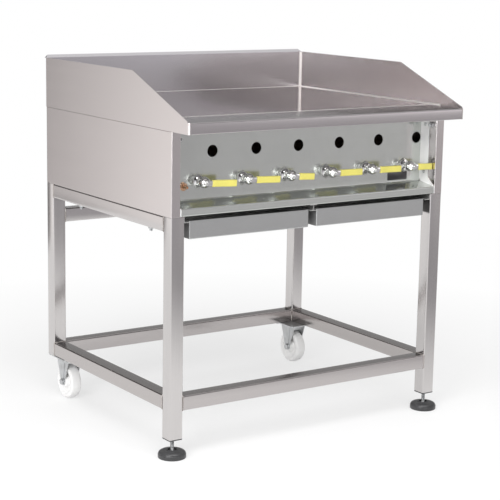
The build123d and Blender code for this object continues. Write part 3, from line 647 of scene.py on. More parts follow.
@dataclass(frozen=True)
class ZincSheet:
    """Galvanised sheet with a faint spangle and a soft mill sheen.

    Past one given half width, and within another, it takes a given flat colour in place of the
    zinc:
    a painted light where that colour is pale, as on the panel's cheeks, and a painted shade where
    it is dark, as on the trays' sides. Below smooth_below it keeps its mirror sheen.
    """

    name: str
    colour: Colour
    roughness: float
    # Painted light and shade: a flat colour replaces the zinc past the first half width and within
    # the second.
    painted_lighting_from: float = 1.0
    painted_lighting_within: float = 0.0
    smooth_below: float = -1.0
    painted_lighting_colour: Colour = (0.88, 0.88, 0.88)
    painted_lighting_edge: float = 0.4 * MM
    smooth_edge: float = 3 * MM
    mirror: float = 0.05
    spangle: float = 70
    cloud: float = 7
    roll: Point = (1.5, 40, 40)
    wave: Point = (4, 9, 9)

    def build(self) -> bpy.types.Material:
        """Make the material.

        Returns:
            The material.
        """
        g = Surface(self.name, {})
        spangle = g.node("ShaderNodeSeparateColor", inputs={0: g.cells(self.spangle)})
        cloud, roll = g.noise(self.cloud, 4, 0.6), g.noise(self.roll, 2)
        wave = g.noise(self.wave, 1)
        tone = g.remap(spangle * 0.15 + cloud * 0.5 + roll * 0.35, 0.2, 0.8)
        spot = g.split(g.place(1))
        width = g.node("ShaderNodeMath", {"operation": "ABSOLUTE"}, {0: spot["X"]})
        # Mask of the painted light and shade: 1 where the flat colour replaces the zinc.
        painted_lighting = g.remap(width, self.painted_lighting_from, self.painted_lighting_from + self.painted_lighting_edge)
        if self.painted_lighting_within:
            painted_lighting = painted_lighting + g.remap(width, self.painted_lighting_within, self.painted_lighting_within - self.painted_lighting_edge)
        smooth = g.remap(spot["Z"], self.smooth_below + self.smooth_edge, self.smooth_below)
        zinc = g.blend(tone, toned(self.colour, 0.97), toned(self.colour, 1.03))
        mottle = (cloud - 0.5) * 0.05 + (spangle - 0.5) * 0.012 + self.roughness - self.mirror
        return g.wear({
            # The flat colour is painted light where it is pale and painted shade where it is dark.
            "Base Color": g.blend(painted_lighting, zinc, self.painted_lighting_colour),
            "Metallic": (1 - painted_lighting) * 0.88,
            "Roughness": mottle * (1 - smooth) + painted_lighting * 0.25 + self.mirror,
            "Normal": g.bump(wave + roll * 0.01, 0.25, 0.6 * MM),
        })


@dataclass(frozen=True)
class Plated:
    """Bright plated, turned or ground metal with small tarnish clouds and fine tool lines."""

    name: str
    colour: Colour
    roughness: float
    tarnish: Colour
    amount: float
    lines: float = 500.0
    metal: float = 1.0
    cloud: float = 45

    def build(self) -> bpy.types.Material:
        """Make the material.

        Returns:
            The material.
        """
        g = Surface(self.name, {"Metallic": self.metal})
        cloud, tool = g.noise(self.cloud, 4, 0.65), g.noise(self.lines, 2)
        spread = g.remap(cloud, 0.42, 0.75, 0.0, self.amount)
        return g.wear({
            "Base Color": g.blend(spread, self.colour, self.tarnish),
            "Roughness": self.roughness + spread * 0.35 + (tool - 0.5) * 0.06,
            "Normal": g.bump(tool, 0.05, 0.2 * MM),
        })


@dataclass(frozen=True)
class Moulded:
    """Moulded plastic with a fine eroded skin, flow clouds and rubbed patches."""

    name: str
    colour: Colour
    roughness: float
    grain: float
    depth: float
    shade: float
    coat: float = 0.0
    flow: float = 22

    def build(self) -> bpy.types.Material:
        """Make the material.

        Returns:
            The material.
        """
        g = Surface(self.name, {"Specular IOR Level": 0.45, "Coat Weight": self.coat})
        skin, flow = g.noise(self.grain, 3), g.noise(self.flow, 4, 0.6)
        dark, light = toned(self.colour, 1 - self.shade), toned(self.colour, 1 + self.shade)
        return g.wear({
            "Base Color": g.blend(g.remap(flow, 0.3, 0.7), dark, light),
            "Roughness": self.roughness + (flow - 0.5) * 0.16 + (skin - 0.5) * 0.08,
            "Normal": g.bump(skin, self.depth, 0.2 * MM),
        })


@dataclass(frozen=True)
class HeatStained:
    """Burner steel with straw and blue temper colours and a dry oxide bloom."""

    name: str
    temper: Stops
    cloud: Point = (16, 9, 16)
    speck: float = 260

    def build(self) -> bpy.types.Material:
        """Make the material.

        Returns:
            The material.
        """
        g = Surface(self.name, {"Metallic": 0.85})
        cloud, speck = g.noise(self.cloud, 5, 0.65), g.noise(self.speck, 3)
        return g.wear({
            "Base Color": g.node("ShaderNodeValToRGB", {"stops": self.temper}, {"Fac": cloud}),
            "Roughness": g.remap(speck * 0.5 + cloud * 0.5, 0.2, 0.8, 0.42, 0.7),
            "Normal": g.bump(speck, 0.2, 0.4 * MM),
        })


@dataclass
class Finishes:
    """Every finish of the griddle, each made once."""

    made: dict[str, bpy.types.Material] = field(default_factory=dict)

    RECIPES = (
        # Painted shade: a darker copy of the stainless for the apron, back panel and brackets.
        BrushedSteel("steel_grain_x", Axis3.X, (0.56, 0.535, 0.54), 0.2),
        BrushedSteel("steel_grain_y", Axis3.Y, (0.68, 0.642, 0.635), 0.17),
        BrushedSteel("tube_x", Axis3.X, (0.63, 0.605, 0.6), 0.16, 0.06, 0.1),
        BrushedSteel("tube_y", Axis3.Y, (0.64, 0.612, 0.605), 0.16, 0.06, 0.1),
        BrushedSteel("tube_z", Axis3.Z, (0.62, 0.598, 0.592), 0.16, 0.06, 0.1),
        # Painted shade: darker copies of the tube steel for the lower rails.
        BrushedSteel("low_tube_x", Axis3.X, (0.52, 0.49, 0.485), 0.2, 0.045, 0.1),
        BrushedSteel("low_tube_y", Axis3.Y, (0.52, 0.49, 0.48), 0.2, 0.045, 0.1),
        # Painted light: a lighter copy of the stainless for the back guard.
        BrushedSteel("steel_back", Axis3.X, (0.74, 0.725, 0.75), 0.22),
        # Painted shade: a darker copy of the stainless for the right guard.
        BrushedSteel("steel_guard", Axis3.Y, (0.567, 0.524, 0.508), 0.2),
        GriddleSteel("griddle_steel", (0.46, 0.412, 0.4), 0.1),
        ZincSheet("zinc_sheet", (0.63, 0.635, 0.615), 0.27),
        # Painted shade: the trays' outer and inner sides are a dark flat grey where they sit in the
        # runners.
        ZincSheet("zinc_tray", (0.54, 0.55, 0.545), 0.2, painted_lighting_from=0.3904, painted_lighting_within=0.0136,
                  painted_lighting_colour=(0.13, 0.13, 0.13)),
        # Painted light: past x 0.4205 the panel's cheeks take a near-white, duller colour for the
        # lamp's light on them.
        ZincSheet("zinc_panel", (0.63, 0.65, 0.625), 0.19, painted_lighting_from=0.4205, smooth_below=0.6715),
        Plated("chrome", (0.82, 0.82, 0.815), 0.06, (0.5, 0.48, 0.46), 0.2),
        Plated("nickel", (0.56, 0.565, 0.55), 0.34, (0.45, 0.45, 0.43), 0.3),
        Plated("zinc_plate", (0.62, 0.63, 0.64), 0.36, (0.42, 0.42, 0.4), 0.5),
        Plated("brass", (0.78, 0.5, 0.33), 0.24, (0.5, 0.28, 0.17), 0.5),
        Plated("seam", (0.7, 0.67, 0.66), 0.4, (0.58, 0.54, 0.52), 0.3, 300.0, 0.6),
        Plated("weld", (0.52, 0.49, 0.47), 0.38, (0.3, 0.26, 0.24), 0.7, 900.0),
        Moulded("yellow_grip", (0.7, 0.635, 0.15), 0.34, 420.0, 0.1, 0.06),
        Moulded("white_nylon", (0.81, 0.805, 0.8), 0.42, 600.0, 0.1, 0.04),
        Moulded("black_plastic", (0.045, 0.045, 0.047), 0.32, 800.0, 0.12, 0.25),
        Moulded("badge_black", (0.012, 0.012, 0.013), 0.2, 1200.0, 0.03, 0.2, 0.6),
        HeatStained("heat_stained", ((0.3, (0.2, 0.18, 0.17)), (0.75, (0.14, 0.15, 0.2)),
                                     (0.52, (0.28, 0.2, 0.13)))),
    )

    def __post_init__(self) -> None:
        """Build all materials."""
        for recipe in self.RECIPES:
            self.made[recipe.name] = recipe.build()

    def __getitem__(self, name: str) -> bpy.types.Material:
        """The finish of that name."""
        return self.made[name]


# The griddle's sub-assemblies


@dataclass(kw_only=True)
class SubAssembly:
    """A group of pieces that is dressed from one set of finishes."""

    finishes: Finishes

    def piece(self, name: str, shape: Shape, finish: str, slot: str, body: str = "stand",
              sharp: float = 35.0) -> bpy.types.Object:
        """Turn a surface into a piece that rides on a body.

        Args:
            name: Piece name.
            shape: The surface, in the row frame.
            finish: Name of its finish.
            slot: Record slot that its finish belongs to; not used.
            body: CAD body that carries it.
            sharp: Edges that fold by more than this angle in degrees stay crisp.

        Returns:
            The new object.
        """
        mesh = bpy.data.meshes.new(name)
        mesh.from_pydata(shape.points.tolist(), [], shape.faces)
        work = bmesh.new()
        work.from_mesh(mesh)
        bmesh.ops.recalc_face_normals(work, faces=work.faces)
        work.to_mesh(mesh)
        work.free()
        mesh.polygons.foreach_set("use_smooth", np.ones(len(mesh.polygons), bool))
        mesh.set_sharp_from_angle(angle=math.radians(sharp))
        mesh.materials.append(self.finishes[finish])
        piece = bpy.data.objects.new(name, mesh)
        bpy.context.scene.collection.objects.link(piece)
        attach(piece, body)
        LOG.info("%s: %d points on %s", name, len(mesh.vertices), body)
        return piece

    def remake(self, node: str, kind: str, shape: Shape, finish: str, slot: str,
               body: str = "stand", sharp: float = 35.0) -> None:
        """Make a finer piece in place of a CAD node, named after the node and the kind of piece."""
        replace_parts(self.piece(f"{node}_{kind}", shape, finish, slot, body, sharp), node)

    def dress(self, finish: str, *nodes: str) -> None:
        """Give CAD nodes a finish.

        Args:
            finish: Name of the finish.
            nodes: Node names.
        """
        for node in nodes:
            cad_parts[node].material_slots[0].material = self.finishes[finish]
            LOG.info("%s: %s", node, finish)


@dataclass(kw_only=True)
class Stand(SubAssembly):
    """Welded stand of square tube."""

    corner: float = 4 * MM
    weld_size: float = 1.5 * MM
    ripple: float = 2.6 * MM
    weld_sharp: float = 80.0
    tubes: tuple[str, ...] = (
        "leg_front_left", "leg_front_right", "leg_rear_left", "leg_rear_right",
        "upper_rail_left", "upper_rail_right", "upper_rail_rear",
        "lower_rail_front", "lower_rail_rear", "lower_rail_left", "lower_rail_right",
    )

    def tube(self, low: Vector, high: Vector) -> tuple[Shape, Shape, Axis3]:
        """One tube as a round-cornered section carried along its longest side, and its end beads.

        Args:
            low: Lowest corner of the tube's box.
            high: Highest corner.

        Returns:
            The tube, its two weld beads and its direction.
        """
        size = np.array(high - low)
        run = Axis3(int(size.argmax()))
        first, second = {Axis3.X: (1, 2), Axis3.Y: (2, 0), Axis3.Z: (0, 1)}[run]
        loop = rounded_outline(size[first], size[second], self.corner)
        length = size[run.value]
        foot = np.array(low + high) / 2
        foot[run.value] = low[run.value]
        place = (foot, np.eye(3)[first], np.eye(3)[second])
        tube = carried(np.insert(loop, 2, 0.0, axis=1), (0, 0, length))
        beads = joined([bead(loop, level, self.weld_size, self.ripple) for level in (0, length)])
        return tube.placed(*place), beads.placed(*place), run

    def build(self) -> None:
        """Make and dress the tubes, their welds and the plugs."""
        welds = []
        for node in self.tubes:
            shape, beads, run = self.tube(*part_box(node))
            # The lower rails take the darker copy of the tube steel, a painted shade.
            finish = f"{'low_tube' if 'lower' in node else 'tube'}_{run.name.lower()}"
            self.remake(node, "tube", shape, finish, "stainless")
            if "rail" in node:
                welds.append(beads)
        self.piece("stand_welds", joined(welds), "weld", "stainless", sharp=self.weld_sharp)
        self.dress("black_plastic", "leg_inserts")


@dataclass(kw_only=True)
class LevellingFoot(SubAssembly):
    """Round pad with a dished hub on a threaded stud."""

    side: str
    pole: float = 0.3 * MM
    base_inset: float = 6 * MM
    rim_round: float = 2.2 * MM
    rim_height: float = 12.5 * MM
    hub: float = 16 * MM
    hub_foot: float = 4 * MM
    hub_round: float = 1.2 * MM
    dish: float = 12 * MM
    dish_depth: float = 4 * MM
    pitch: float = 1.5 * MM
    thread_depth: float = 0.75 * MM

    def pad_profile(self, radius: float, height: float) -> Pairs:
        """The pad's half section, from its base up over the rim and dome into the dish.

        Args:
            radius: Base radius.
            height: Hub height.

        Returns:
            Pairs of radius and height.
        """
        rim, r, lip = self.rim_height, self.rim_round, self.hub_round
        floor = height - self.dish_depth
        slope = np.radians(np.linspace(8, 90, 12))
        run, rise = radius - self.hub - self.hub_foot, height - lip - rim
        profile = [(self.pole, 0.0), (radius - self.base_inset, 0.0)]
        profile += arc((radius - r, r), r, -90, 0, 6)
        profile += arc((radius - r, rim - r), r, 0, 62, 6)
        profile += zip(radius - lip - run * (1 - np.cos(slope)), rim + rise * np.sin(slope))
        profile += arc((self.hub - 1 * MM, height - lip), lip, 10, 90, 4)
        profile += arc((self.dish + lip, height - lip), lip, 90, 180, 4)
        return profile + [(self.dish, floor), (self.pole, floor)]

    def build(self) -> None:
        """Make the pad and the stud."""
        pad, stud, body = f"foot_pad_{self.side}", f"foot_stud_{self.side}", f"foot_{self.side}"
        low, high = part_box(pad)
        x, y = (low.x + high.x) / 2, (low.y + high.y) / 2
        shape = lathe(self.pad_profile((high.x - low.x) / 2, high.z - low.z), 96)
        shape = shape.moved((x, y, low.z))
        self.remake(pad, "moulding", shape, "black_plastic", "black_plastic", body)
        low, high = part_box(stud)
        shape = thread((high.x - low.x) / 2, high.z - low.z, self.pitch, self.thread_depth)
        self.remake(stud, "thread", shape.moved((x, y, low.z)), "zinc_plate", "zinc", body)


@dataclass(kw_only=True)
class Castor(SubAssembly):
    """Fixed castor with a nylon wheel."""

    side: str
    bore: float = 5.06 * MM
    tread_half: float = 16 * MM
    crown: float = 1.2 * MM
    shoulder: float = 6 * MM
    rim: float = 13 * MM
    web_half: float = 7 * MM
    hub_radius: float = 17 * MM

    def wheel_profile(self, radius: float, hub_half: float) -> Pairs:
        """The wheel's section as a closed loop: crowned tread, rim, web and hub.

        Args:
            radius: Tread radius.
            hub_half: Half the hub's width.

        Returns:
            Pairs of radius and height along the axle.
        """
        inner, tread, web, hub = radius - self.rim, self.tread_half, self.web_half, self.hub_radius
        turn = np.radians(np.linspace(12, 90, 8))
        half = [(radius, 0.0), (radius - self.crown * 0.25, tread * 0.35)]
        half += zip(radius - self.crown * 0.6 - self.shoulder * (1 - np.cos(turn)),
                    tread - self.shoulder * (1 - np.sin(turn)))
        half += [(inner + 1.5 * MM, tread), (inner, tread - 1 * MM)]
        half += [(inner - 6 * MM, web + 1 * MM), (inner - 8 * MM, web)]
        half += [(hub + 4 * MM, web), (hub + 2 * MM, web + 1.5 * MM)]
        half += [(hub, hub_half - 1.5 * MM), (hub - 1.2 * MM, hub_half)]
        half += [(self.bore + 1 * MM, hub_half), (self.bore, hub_half - 0.8 * MM)]
        return half + [(r, -h) for r, h in half[:0:-1]]

    def build(self) -> None:
        """Make the wheel and dress the fork."""
        node = f"castor_wheel_{self.side}"
        low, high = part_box(node)
        profile = self.wheel_profile((high.z - low.z) / 2, (high.x - low.x) / 2)
        wheel = lathe(profile, 120, ring=True).facing((low + high) / 2, Facing.RIGHT)
        self.remake(node, "moulding", wheel, "white_nylon", "white_nylon", node)
        self.dress("zinc_plate", f"castor_fork_{self.side}")


@dataclass(kw_only=True)
class Fixings(SubAssembly):
    """Frame bolts, axle bolts, and the screws and bolts of the panel and back."""

    flats: float = 13 * MM
    head: float = 5.3 * MM
    chamfer: float = 0.9 * MM
    shank: float = 4 * MM
    washer_thickness: float = 1.3 * MM
    nut: float = 8 * MM
    tail: float = 14 * MM
    pitch: float = 1.25 * MM
    thread_depth: float = 0.6 * MM
    rail_bottom: float = 0.6
    flange_top: float = 0.6415
    casing_places: tuple[Span, ...] = ((0.43, -0.189), (0.43, 0.2))
    fork_top: float = 0.125
    castor_places: tuple[Span, ...] = ((0.4405, 0.2835), (0.3745, 0.3635))
    axle_radius: float = 5 * MM
    axle_flats: float = 17 * MM
    axle_head: float = 6.5 * MM
    screw: tuple[float, float, float] = (5 * MM, 2.6 * MM, 0.9 * MM)
    cheek: float = 0.421
    cheek_y: float = -0.277
    cheek_heights: tuple[float, ...] = (0.7, 0.835)
    post: tuple[float, float, float] = (0.423, -0.303, 0.836)
    back_face: float = 0.376
    back_x: float = 0.44
    back_heights: tuple[float, ...] = (0.68, 0.75, 0.82)

    def head_on_washer(self, flats: float, height: float) -> Shape:
        """A washer with a chamfered hexagon on it, rising from local z = 0.

        Args:
            flats: Size across the hexagon's flats.
            height: Height of both.

        Returns:
            The two pieces.
        """
        ring = washer(flats * 0.65, self.shank, self.washer_thickness)
        lift = self.washer_thickness * 0.98
        return ring + hexagon(flats, height - lift, self.chamfer).moved((0, 0, lift))

    def nut_on_tail(self) -> Shape:
        """A washer, a nut and the threaded end of a bolt, rising from local z = 0."""
        rod = thread(self.shank, self.tail, self.pitch, self.thread_depth)
        return self.head_on_washer(self.flats, self.nut) + rod

    def frame_bolts(self) -> Shape:
        """Heads in the casing with nuts under the upper rails, and heads under the castor plates.

        Returns:
            All the bolts.
        """
        head, nut, shapes = self.head_on_washer(self.flats, self.head), self.nut_on_tail(), []
        for sign in SIGNS:
            for x, y in self.casing_places:
                shapes.append(nut.facing((sign * x, y, self.rail_bottom), Facing.DOWN))
                shapes.append(head.facing((sign * x, y, self.flange_top), Facing.UP))
            for x, y in self.castor_places:
                shapes.append(head.facing((sign * x, y, self.fork_top), Facing.DOWN))
        return joined(shapes)

    def axles(self) -> Shape:
        """Both axles: a shank with a washer and a hexagon at each end, within the axles' own box.

        Returns:
            The axles.
        """
        low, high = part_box("castor_axles")
        middle = sum(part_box("castor_wheel_right"), Vector()) / 2
        half, r = high.x - self.axle_head - middle.x, self.axle_radius
        end = self.head_on_washer(self.axle_flats, self.axle_head)
        rod = lathe([(POLE, -half), (r, -half), (r, half), (POLE, half)], 40)
        one = end.moved((0, 0, half)) + end.facing((0, 0, -half), Facing.DOWN) + rod
        spots = [(sign * middle.x, (low.y + high.y) / 2, middle.z) for sign in SIGNS]
        return joined([one.facing(spot, Facing.RIGHT) for spot in spots])

    def panel_screws(self) -> Shape:
        """Cross-head screws on the cheeks and back, and nuts on bolt ends on the post returns.

        Returns:
            All the screws and nuts.
        """
        screw, nut, shapes = cross_screw(*self.screw), self.nut_on_tail(), []
        for sign, inward in ((-1, Facing.RIGHT), (1, Facing.LEFT)):
            for z in self.cheek_heights:
                shapes.append(screw.facing((sign * self.cheek, self.cheek_y, z), inward))
            shapes.append(nut.facing(np.multiply(self.post, (sign, 1, 1)), inward))
            for z in self.back_heights:
                shapes.append(screw.facing((sign * self.back_x, self.back_face, z), Facing.BACK))
        return joined(shapes)

    def build(self) -> None:
        """Make the bolts, axles and screws."""
        for node, shape in (("frame_bolts", self.frame_bolts()), ("castor_axles", self.axles()),
                            ("panel_screws", self.panel_screws())):
            self.remake(node, "turned", shape, "zinc_plate", "zinc")


@dataclass(kw_only=True)
class Casing(SubAssembly):
    """Folded sides, back, plate, guards and apron, with the welded seams of the cooking space."""

    half: float = 0.4485
    back: float = 0.3745
    front: float = -0.274
    floor: float = 0.89
    rise: float = 0.109
    corner_radius: float = 6 * MM
    side_radius: float = 2.5 * MM
    back_radius: float = 0.7 * MM
    seam_width: float = 3 * MM
    seam_height: float = 0.6 * MM
    seam_edge: float = 0.7 * MM
    seam_sink: float = 0.1 * MM
    seam_end: float = -0.304
    seam_end_radius: float = 4 * MM
    apron_half: float = 0.442
    apron_ahead: float = -0.396
    apron_return: float = 15 * MM
    apron_edge: float = 0.05 * MM
    fold: float = 3 * MM

    def seams(self) -> Shape:
        """Coves up the back corners and along the plate's sides and back, and a low front seam.

        Returns:
            The seams.
        """
        up, ahead, half = (0, 0, 1), (0, -1, 0), self.half
        run, end = (0, self.front - self.back, 0), (0, self.seam_end - self.front, 0)
        spot = (-half, self.back, self.floor)
        shapes = [cove(spot, ahead, up, (2 * half, 0, 0), self.back_radius)]
        for sign in SIGNS:
            inward, spot = (-sign, 0, 0), (sign * half, self.back, self.floor)
            shapes.append(cove(spot, inward, ahead, (0, 0, self.rise), self.corner_radius))
            shapes.append(cove(spot, inward, up, run, self.side_radius))
            spot = (sign * half, self.front, self.floor)
            shapes.append(cove(spot, inward, up, end, self.seam_end_radius))
        outline = rounded_outline(2 * half, self.seam_width, self.seam_width / 2)
        strip = slab(outline, self.seam_height, self.seam_edge)
        return joined(shapes + [strip.moved((0, self.front, self.floor - self.seam_sink))])

    def apron(self) -> Shape:
        """A twice folded section carried along x, with a tab and a round corner at each end.

        Returns:
            The closed sheet.
        """
        low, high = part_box("front_apron")
        outer, inner, back = self.fold, self.fold - SHEET, low.y + self.apron_return
        top, bottom = (low.y + outer, high.z - outer), (low.y + outer, low.z + outer)
        loop = [(self.front, high.z)]
        loop += arc(top, outer, 90, 180, 10) + arc(bottom, outer, 180, 270, 10)
        loop += [(back, low.z), (back, low.z + SHEET)]
        loop += arc(bottom, inner, 270, 180, 10) + arc(top, inner, 180, 90, 10)
        loop += [(self.front, high.z - SHEET)]
        section = np.insert(np.array(loop), 0, -self.apron_half, axis=1)
        shapes = [carried(section, (2 * self.apron_half, 0, 0))]
        radius = self.half - self.apron_half
        corner = arc((0, self.apron_ahead), radius, 270, 360, 8)
        tab = np.array([(0, self.front)] + corner + [(radius, self.front)])
        for sign in SIGNS:
            end = slab((tab * (sign, 1))[::sign], SHEET, self.apron_edge, 1)
            shapes.append(end.moved((sign * self.apron_half, 0, high.z - SHEET)))
        return joined(shapes)

    def build(self) -> None:
        """Dress the sheets and make the apron and the seams."""
        self.dress("steel_grain_y", "side_panel_left", "side_panel_right", "splash_guard_left")
        # The right guard takes the darker copy of the stainless, a painted shade.
        self.dress("steel_guard", "splash_guard_right")
        # The back guard takes the lighter copy of the stainless, a painted light.
        self.dress("steel_back", "splash_guard_back")
        # The apron, back panel and brackets take the darker copy of the stainless, a painted shade.
        self.dress("steel_grain_x", "back_panel", "panel_brackets")
        self.remake("front_apron", "sheet", self.apron(), "steel_grain_x", "stainless")
        self.dress("griddle_steel", "griddle_plate", "plate_bearers")
        self.piece("plate_seams", self.seams(), "seam", "stainless")


@dataclass(kw_only=True)
class ControlPanel(SubAssembly):
    """Recessed panel with its nipple and bare badge."""

    badge_low: Span = (0.303, 0.678)
    badge_high: Span = (0.373, 0.701)
    badge_corner: float = 2 * MM
    badge_thickness: float = 1.2 * MM
    badge_edge: float = 0.4 * MM
    nipple_flats: float = 20.7 * MM
    nipple_collar: float = 5 * MM
    nipple_chamfer: float = 1 * MM
    nipple_radius: float = 5 * MM
    nipple_hole: float = 4 * MM
    barbs: tuple[float, ...] = (0.45, 0.72)

    def badge(self, face: float) -> Shape:
        """A bare plate with round corners on the panel's face.

        Args:
            face: The panel face's y.

        Returns:
            The plate.
        """
        low, high = np.array(self.badge_low), np.array(self.badge_high)
        outline = rounded_outline(*(high - low), self.badge_corner)
        x, z = (low + high) / 2
        plate = slab(outline, self.badge_thickness, self.badge_edge)
        return plate.facing((x, face, z), Facing.FRONT)

    def nipple(self, face: float) -> Shape:
        """A hexagon collar and a nozzle with two barbs, with its stem behind the panel.

        Args:
            face: The panel face's y.

        Returns:
            The nipple.
        """
        low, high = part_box("test_nipple")
        reach, r, stem = face - low.y, self.nipple_radius, face - high.y
        profile = [(POLE, stem), (r, stem), (r, self.nipple_collar + 2 * MM)]
        for barb in self.barbs:
            profile += [(r * 0.8, reach * barb), (r, reach * (barb + 0.04))]
            profile += [(r * 0.82, reach * (barb + 0.2))]
        bottom = reach - self.nipple_hole
        profile += [(r * 0.62, reach), (r * 0.4, reach), (r * 0.4, bottom), (POLE, bottom)]
        collar = hexagon(self.nipple_flats, self.nipple_collar, self.nipple_chamfer)
        x, z = (low.x + high.x) / 2, (low.z + high.z) / 2
        return (collar + lathe(profile, 40)).facing((x, face, z), Facing.FRONT)

    def build(self) -> None:
        """Dress the panel and make the nipple and the badge."""
        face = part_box("tap_nuts")[1].y
        # The panel's cheeks carry a painted light.
        self.dress("zinc_panel", "control_panel")
        self.remake("test_nipple", "turned", self.nipple(face), "brass", "brass")
        self.piece("badge_plate", self.badge(face), "badge_black", "black_plastic")


@dataclass(kw_only=True)
class GasTaps(SubAssembly):
    """Six taps clamped in the panel: nut, domed bonnet, barrel, and the riser to the injector."""

    places: tuple[float, ...] = (-0.33175, -0.1936, -0.05545, 0.0827, 0.22085, 0.359)
    droops: tuple[float, ...] = (3.0, 2.5, 3.5, 1.0, 1.0, 2.0)
    height: float = 0.72
    nut_flats: float = 34 * MM
    nut_height: float = 4 * MM
    nut_chamfer: float = 1.2 * MM
    nut_bore: float = 15.05 * MM
    neck: float = 8.5 * MM
    neck_height: float = 7 * MM
    shoulder: float = 12 * MM
    barrel: float = 15 * MM
    barrel_end: float = -26 * MM
    flange: float = 19 * MM
    flange_end: float = -5.5 * MM
    spigot: float = 9 * MM
    spigot_end: float = -34.1 * MM
    bonnet: float = 15 * MM
    bonnet_length: float = 33 * MM
    spindle_hole: float = 5.06 * MM
    spindle_depth: float = 3 * MM
    riser: float = 8 * MM
    riser_height: float = 50 * MM
    riser_setback: float = 16 * MM
    holder: float = 10 * MM
    holder_length: float = 24 * MM
    holder_edge: float = 1 * MM
    body_sharp: float = 40.0

    def body_profile(self) -> Pairs:
        """The tap's half section along the spindle, from the spigot to the bonnet's nose.

        Returns:
            Pairs of radius and height above the panel's face.
        """
        top, bottom = self.bonnet_length, self.bonnet_length - self.spindle_depth
        profile = [(POLE, self.spigot_end), (self.spigot, self.spigot_end)]
        profile += [(self.spigot, self.barrel_end), (self.barrel, self.barrel_end)]
        profile += [(self.barrel, self.flange_end), (self.flange, self.flange_end)]
        profile += [(self.flange, -SHEET), (self.barrel, -SHEET), (self.barrel, self.nut_height)]
        profile += [(self.shoulder, self.nut_height + 1 * MM), (self.neck, self.neck_height)]
        profile += arc((0, top), self.bonnet, -56, -3, 12)
        return profile + [(self.spindle_hole, top), (self.spindle_hole, bottom), (POLE, bottom)]

    def bodies(self, face: float) -> Shape:
        """All six tap bodies, each with its riser and injector holder.

        Args:
            face: The panel face's y.

        Returns:
            The bodies.
        """
        r, long, edge = self.holder, self.holder_length, self.holder_edge
        back, top = self.riser_setback, self.riser_height
        turned = lathe(self.body_profile()).facing((0, 0, 0), Facing.FRONT)
        riser = lathe([(self.riser, 0), (self.riser, top)], 32).moved((0, back, 0))
        cup = lathe([(r - edge, 0), (r, edge), (r, long - edge), (r - edge, long)], 32)
        one = turned + riser + cup.facing((0, back - r, top), Facing.BACK)
        return joined([one.moved((x, face, self.height)) for x in self.places])

    def nuts(self, face: float) -> Shape:
        """All six panel nuts, on the panel's face."""
        nut = hexagon(self.nut_flats, self.nut_height, self.nut_chamfer, self.nut_bore)
        return joined([nut.facing((x, face, self.height), Facing.FRONT) for x in self.places])

    def build(self) -> None:
        """Make the tap bodies, their nuts and their levers."""
        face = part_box("tap_nuts")[1].y
        bodies = self.bodies(face)
        self.remake("tap_bodies", "turned", bodies, "chrome", "chrome", sharp=self.body_sharp)
        self.remake("tap_nuts", "turned", self.nuts(face), "nickel", "chrome")
        for number, (place, droop) in enumerate(zip(self.places, self.droops), 1):
            TapLever(finishes=self.finishes, number=number, place=place, droop=droop,
                     height=self.height).build()


@dataclass(kw_only=True)
class TapLever(SubAssembly):
    """One lever: spindle and shoulder, a flat strip held by a nut, and a dipped grip."""

    number: int
    place: float
    droop: float
    height: float
    lever_y: float = -0.308
    width: float = 13 * MM
    thickness: float = 3 * MM
    edge: float = 0.5 * MM
    grip_start: float = 15 * MM
    grip_height: float = 18 * MM
    grip_thickness: float = 9 * MM
    grip_corner: float = 2.5 * MM
    grip_wall: float = 4 * MM
    nut_flats: float = 11 * MM
    nut_height: float = 3.6 * MM
    nut_chamfer: float = 0.9 * MM
    stud: float = 3 * MM
    stud_end: float = 1 * MM
    stud_pitch: float = 1 * MM
    stud_depth: float = 0.4 * MM
    spindle: float = 5 * MM
    spindle_end: float = -37.2 * MM
    boss: float = 14.8 * MM
    boss_back: float = -15.2 * MM
    seat: float = 8 * MM
    seat_edge: float = 0.6 * MM

    def strip(self, length: float) -> Shape:
        """The flat strip: a half circle round the spindle and straight sides, with broken edges.

        Args:
            length: Reach from the spindle's axis.

        Returns:
            The strip, along local x.
        """
        r, half = self.width / 2, length * 0.5
        loop = arc((0, 0), r, 90, 270, 20) + [(half, -r), (length, -r), (length, r), (half, r)]
        return slab(np.array(loop), self.thickness, self.edge, 3)

    def lever(self, length: float) -> Shape:
        """Spindle, shoulder, strip, nut and the spindle's threaded end, out along local z.

        Args:
            length: The strip's reach along local x.

        Returns:
            The lever.
        """
        r, end, back, edge = self.spindle, self.spindle_end, self.boss_back, self.seat_edge
        turned = [(POLE, end), (r, end), (r, back)] + arc((0, back), self.boss, 0, 52, 10)
        turned += [(self.seat, -edge), (self.seat - edge, 0), (POLE, 0)]
        nut = hexagon(self.nut_flats, self.nut_height, self.nut_chamfer)
        tail = thread(self.stud, self.nut_height + self.stud_end, self.stud_pitch, self.stud_depth)
        return lathe(turned, 48) + self.strip(length) + (nut + tail).moved((0, 0, self.thickness))

    def build(self) -> None:
        """Make the lever and its grip, drooping from the spindle's axis."""
        strip, grip, body = (f"tap_{kind}{self.number}" for kind in ("lever_", "grip_", ""))
        low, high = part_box(grip)
        angle = math.radians(self.droop)
        sine, cosine = math.sin(angle), math.cos(angle)
        along, across = (cosine, 0, -sine), (sine, 0, cosine)
        length = (high.x - low.x - self.grip_height * sine) / cosine
        reach = self.grip_start + length - self.grip_wall
        back = (self.place, self.lever_y + self.thickness / 2, self.height)
        shape = self.lever(reach).placed(back, along, across)
        self.remake(strip, "strip", shape, "chrome", "chrome", body)
        shape = sleeve(length, self.grip_height, self.grip_thickness, self.grip_corner)
        shape = shape.moved((self.grip_start, 0, 0))
        shape = shape.placed((self.place, self.lever_y, self.height), along, across)
        self.remake(grip, "sleeve", shape, "yellow_grip", "yellow_grip", body)


@dataclass(kw_only=True)
class DripTrays(SubAssembly):
    """Folded trays and their runners."""

    def build(self) -> None:
        """Dress the trays and runners."""
        # The trays' sides carry a painted shade.
        self.dress("zinc_tray", "drip_tray_left", "drip_tray_right")
        self.dress("zinc_sheet", "tray_runner_left", "tray_runner_right", "tray_runner_centre")


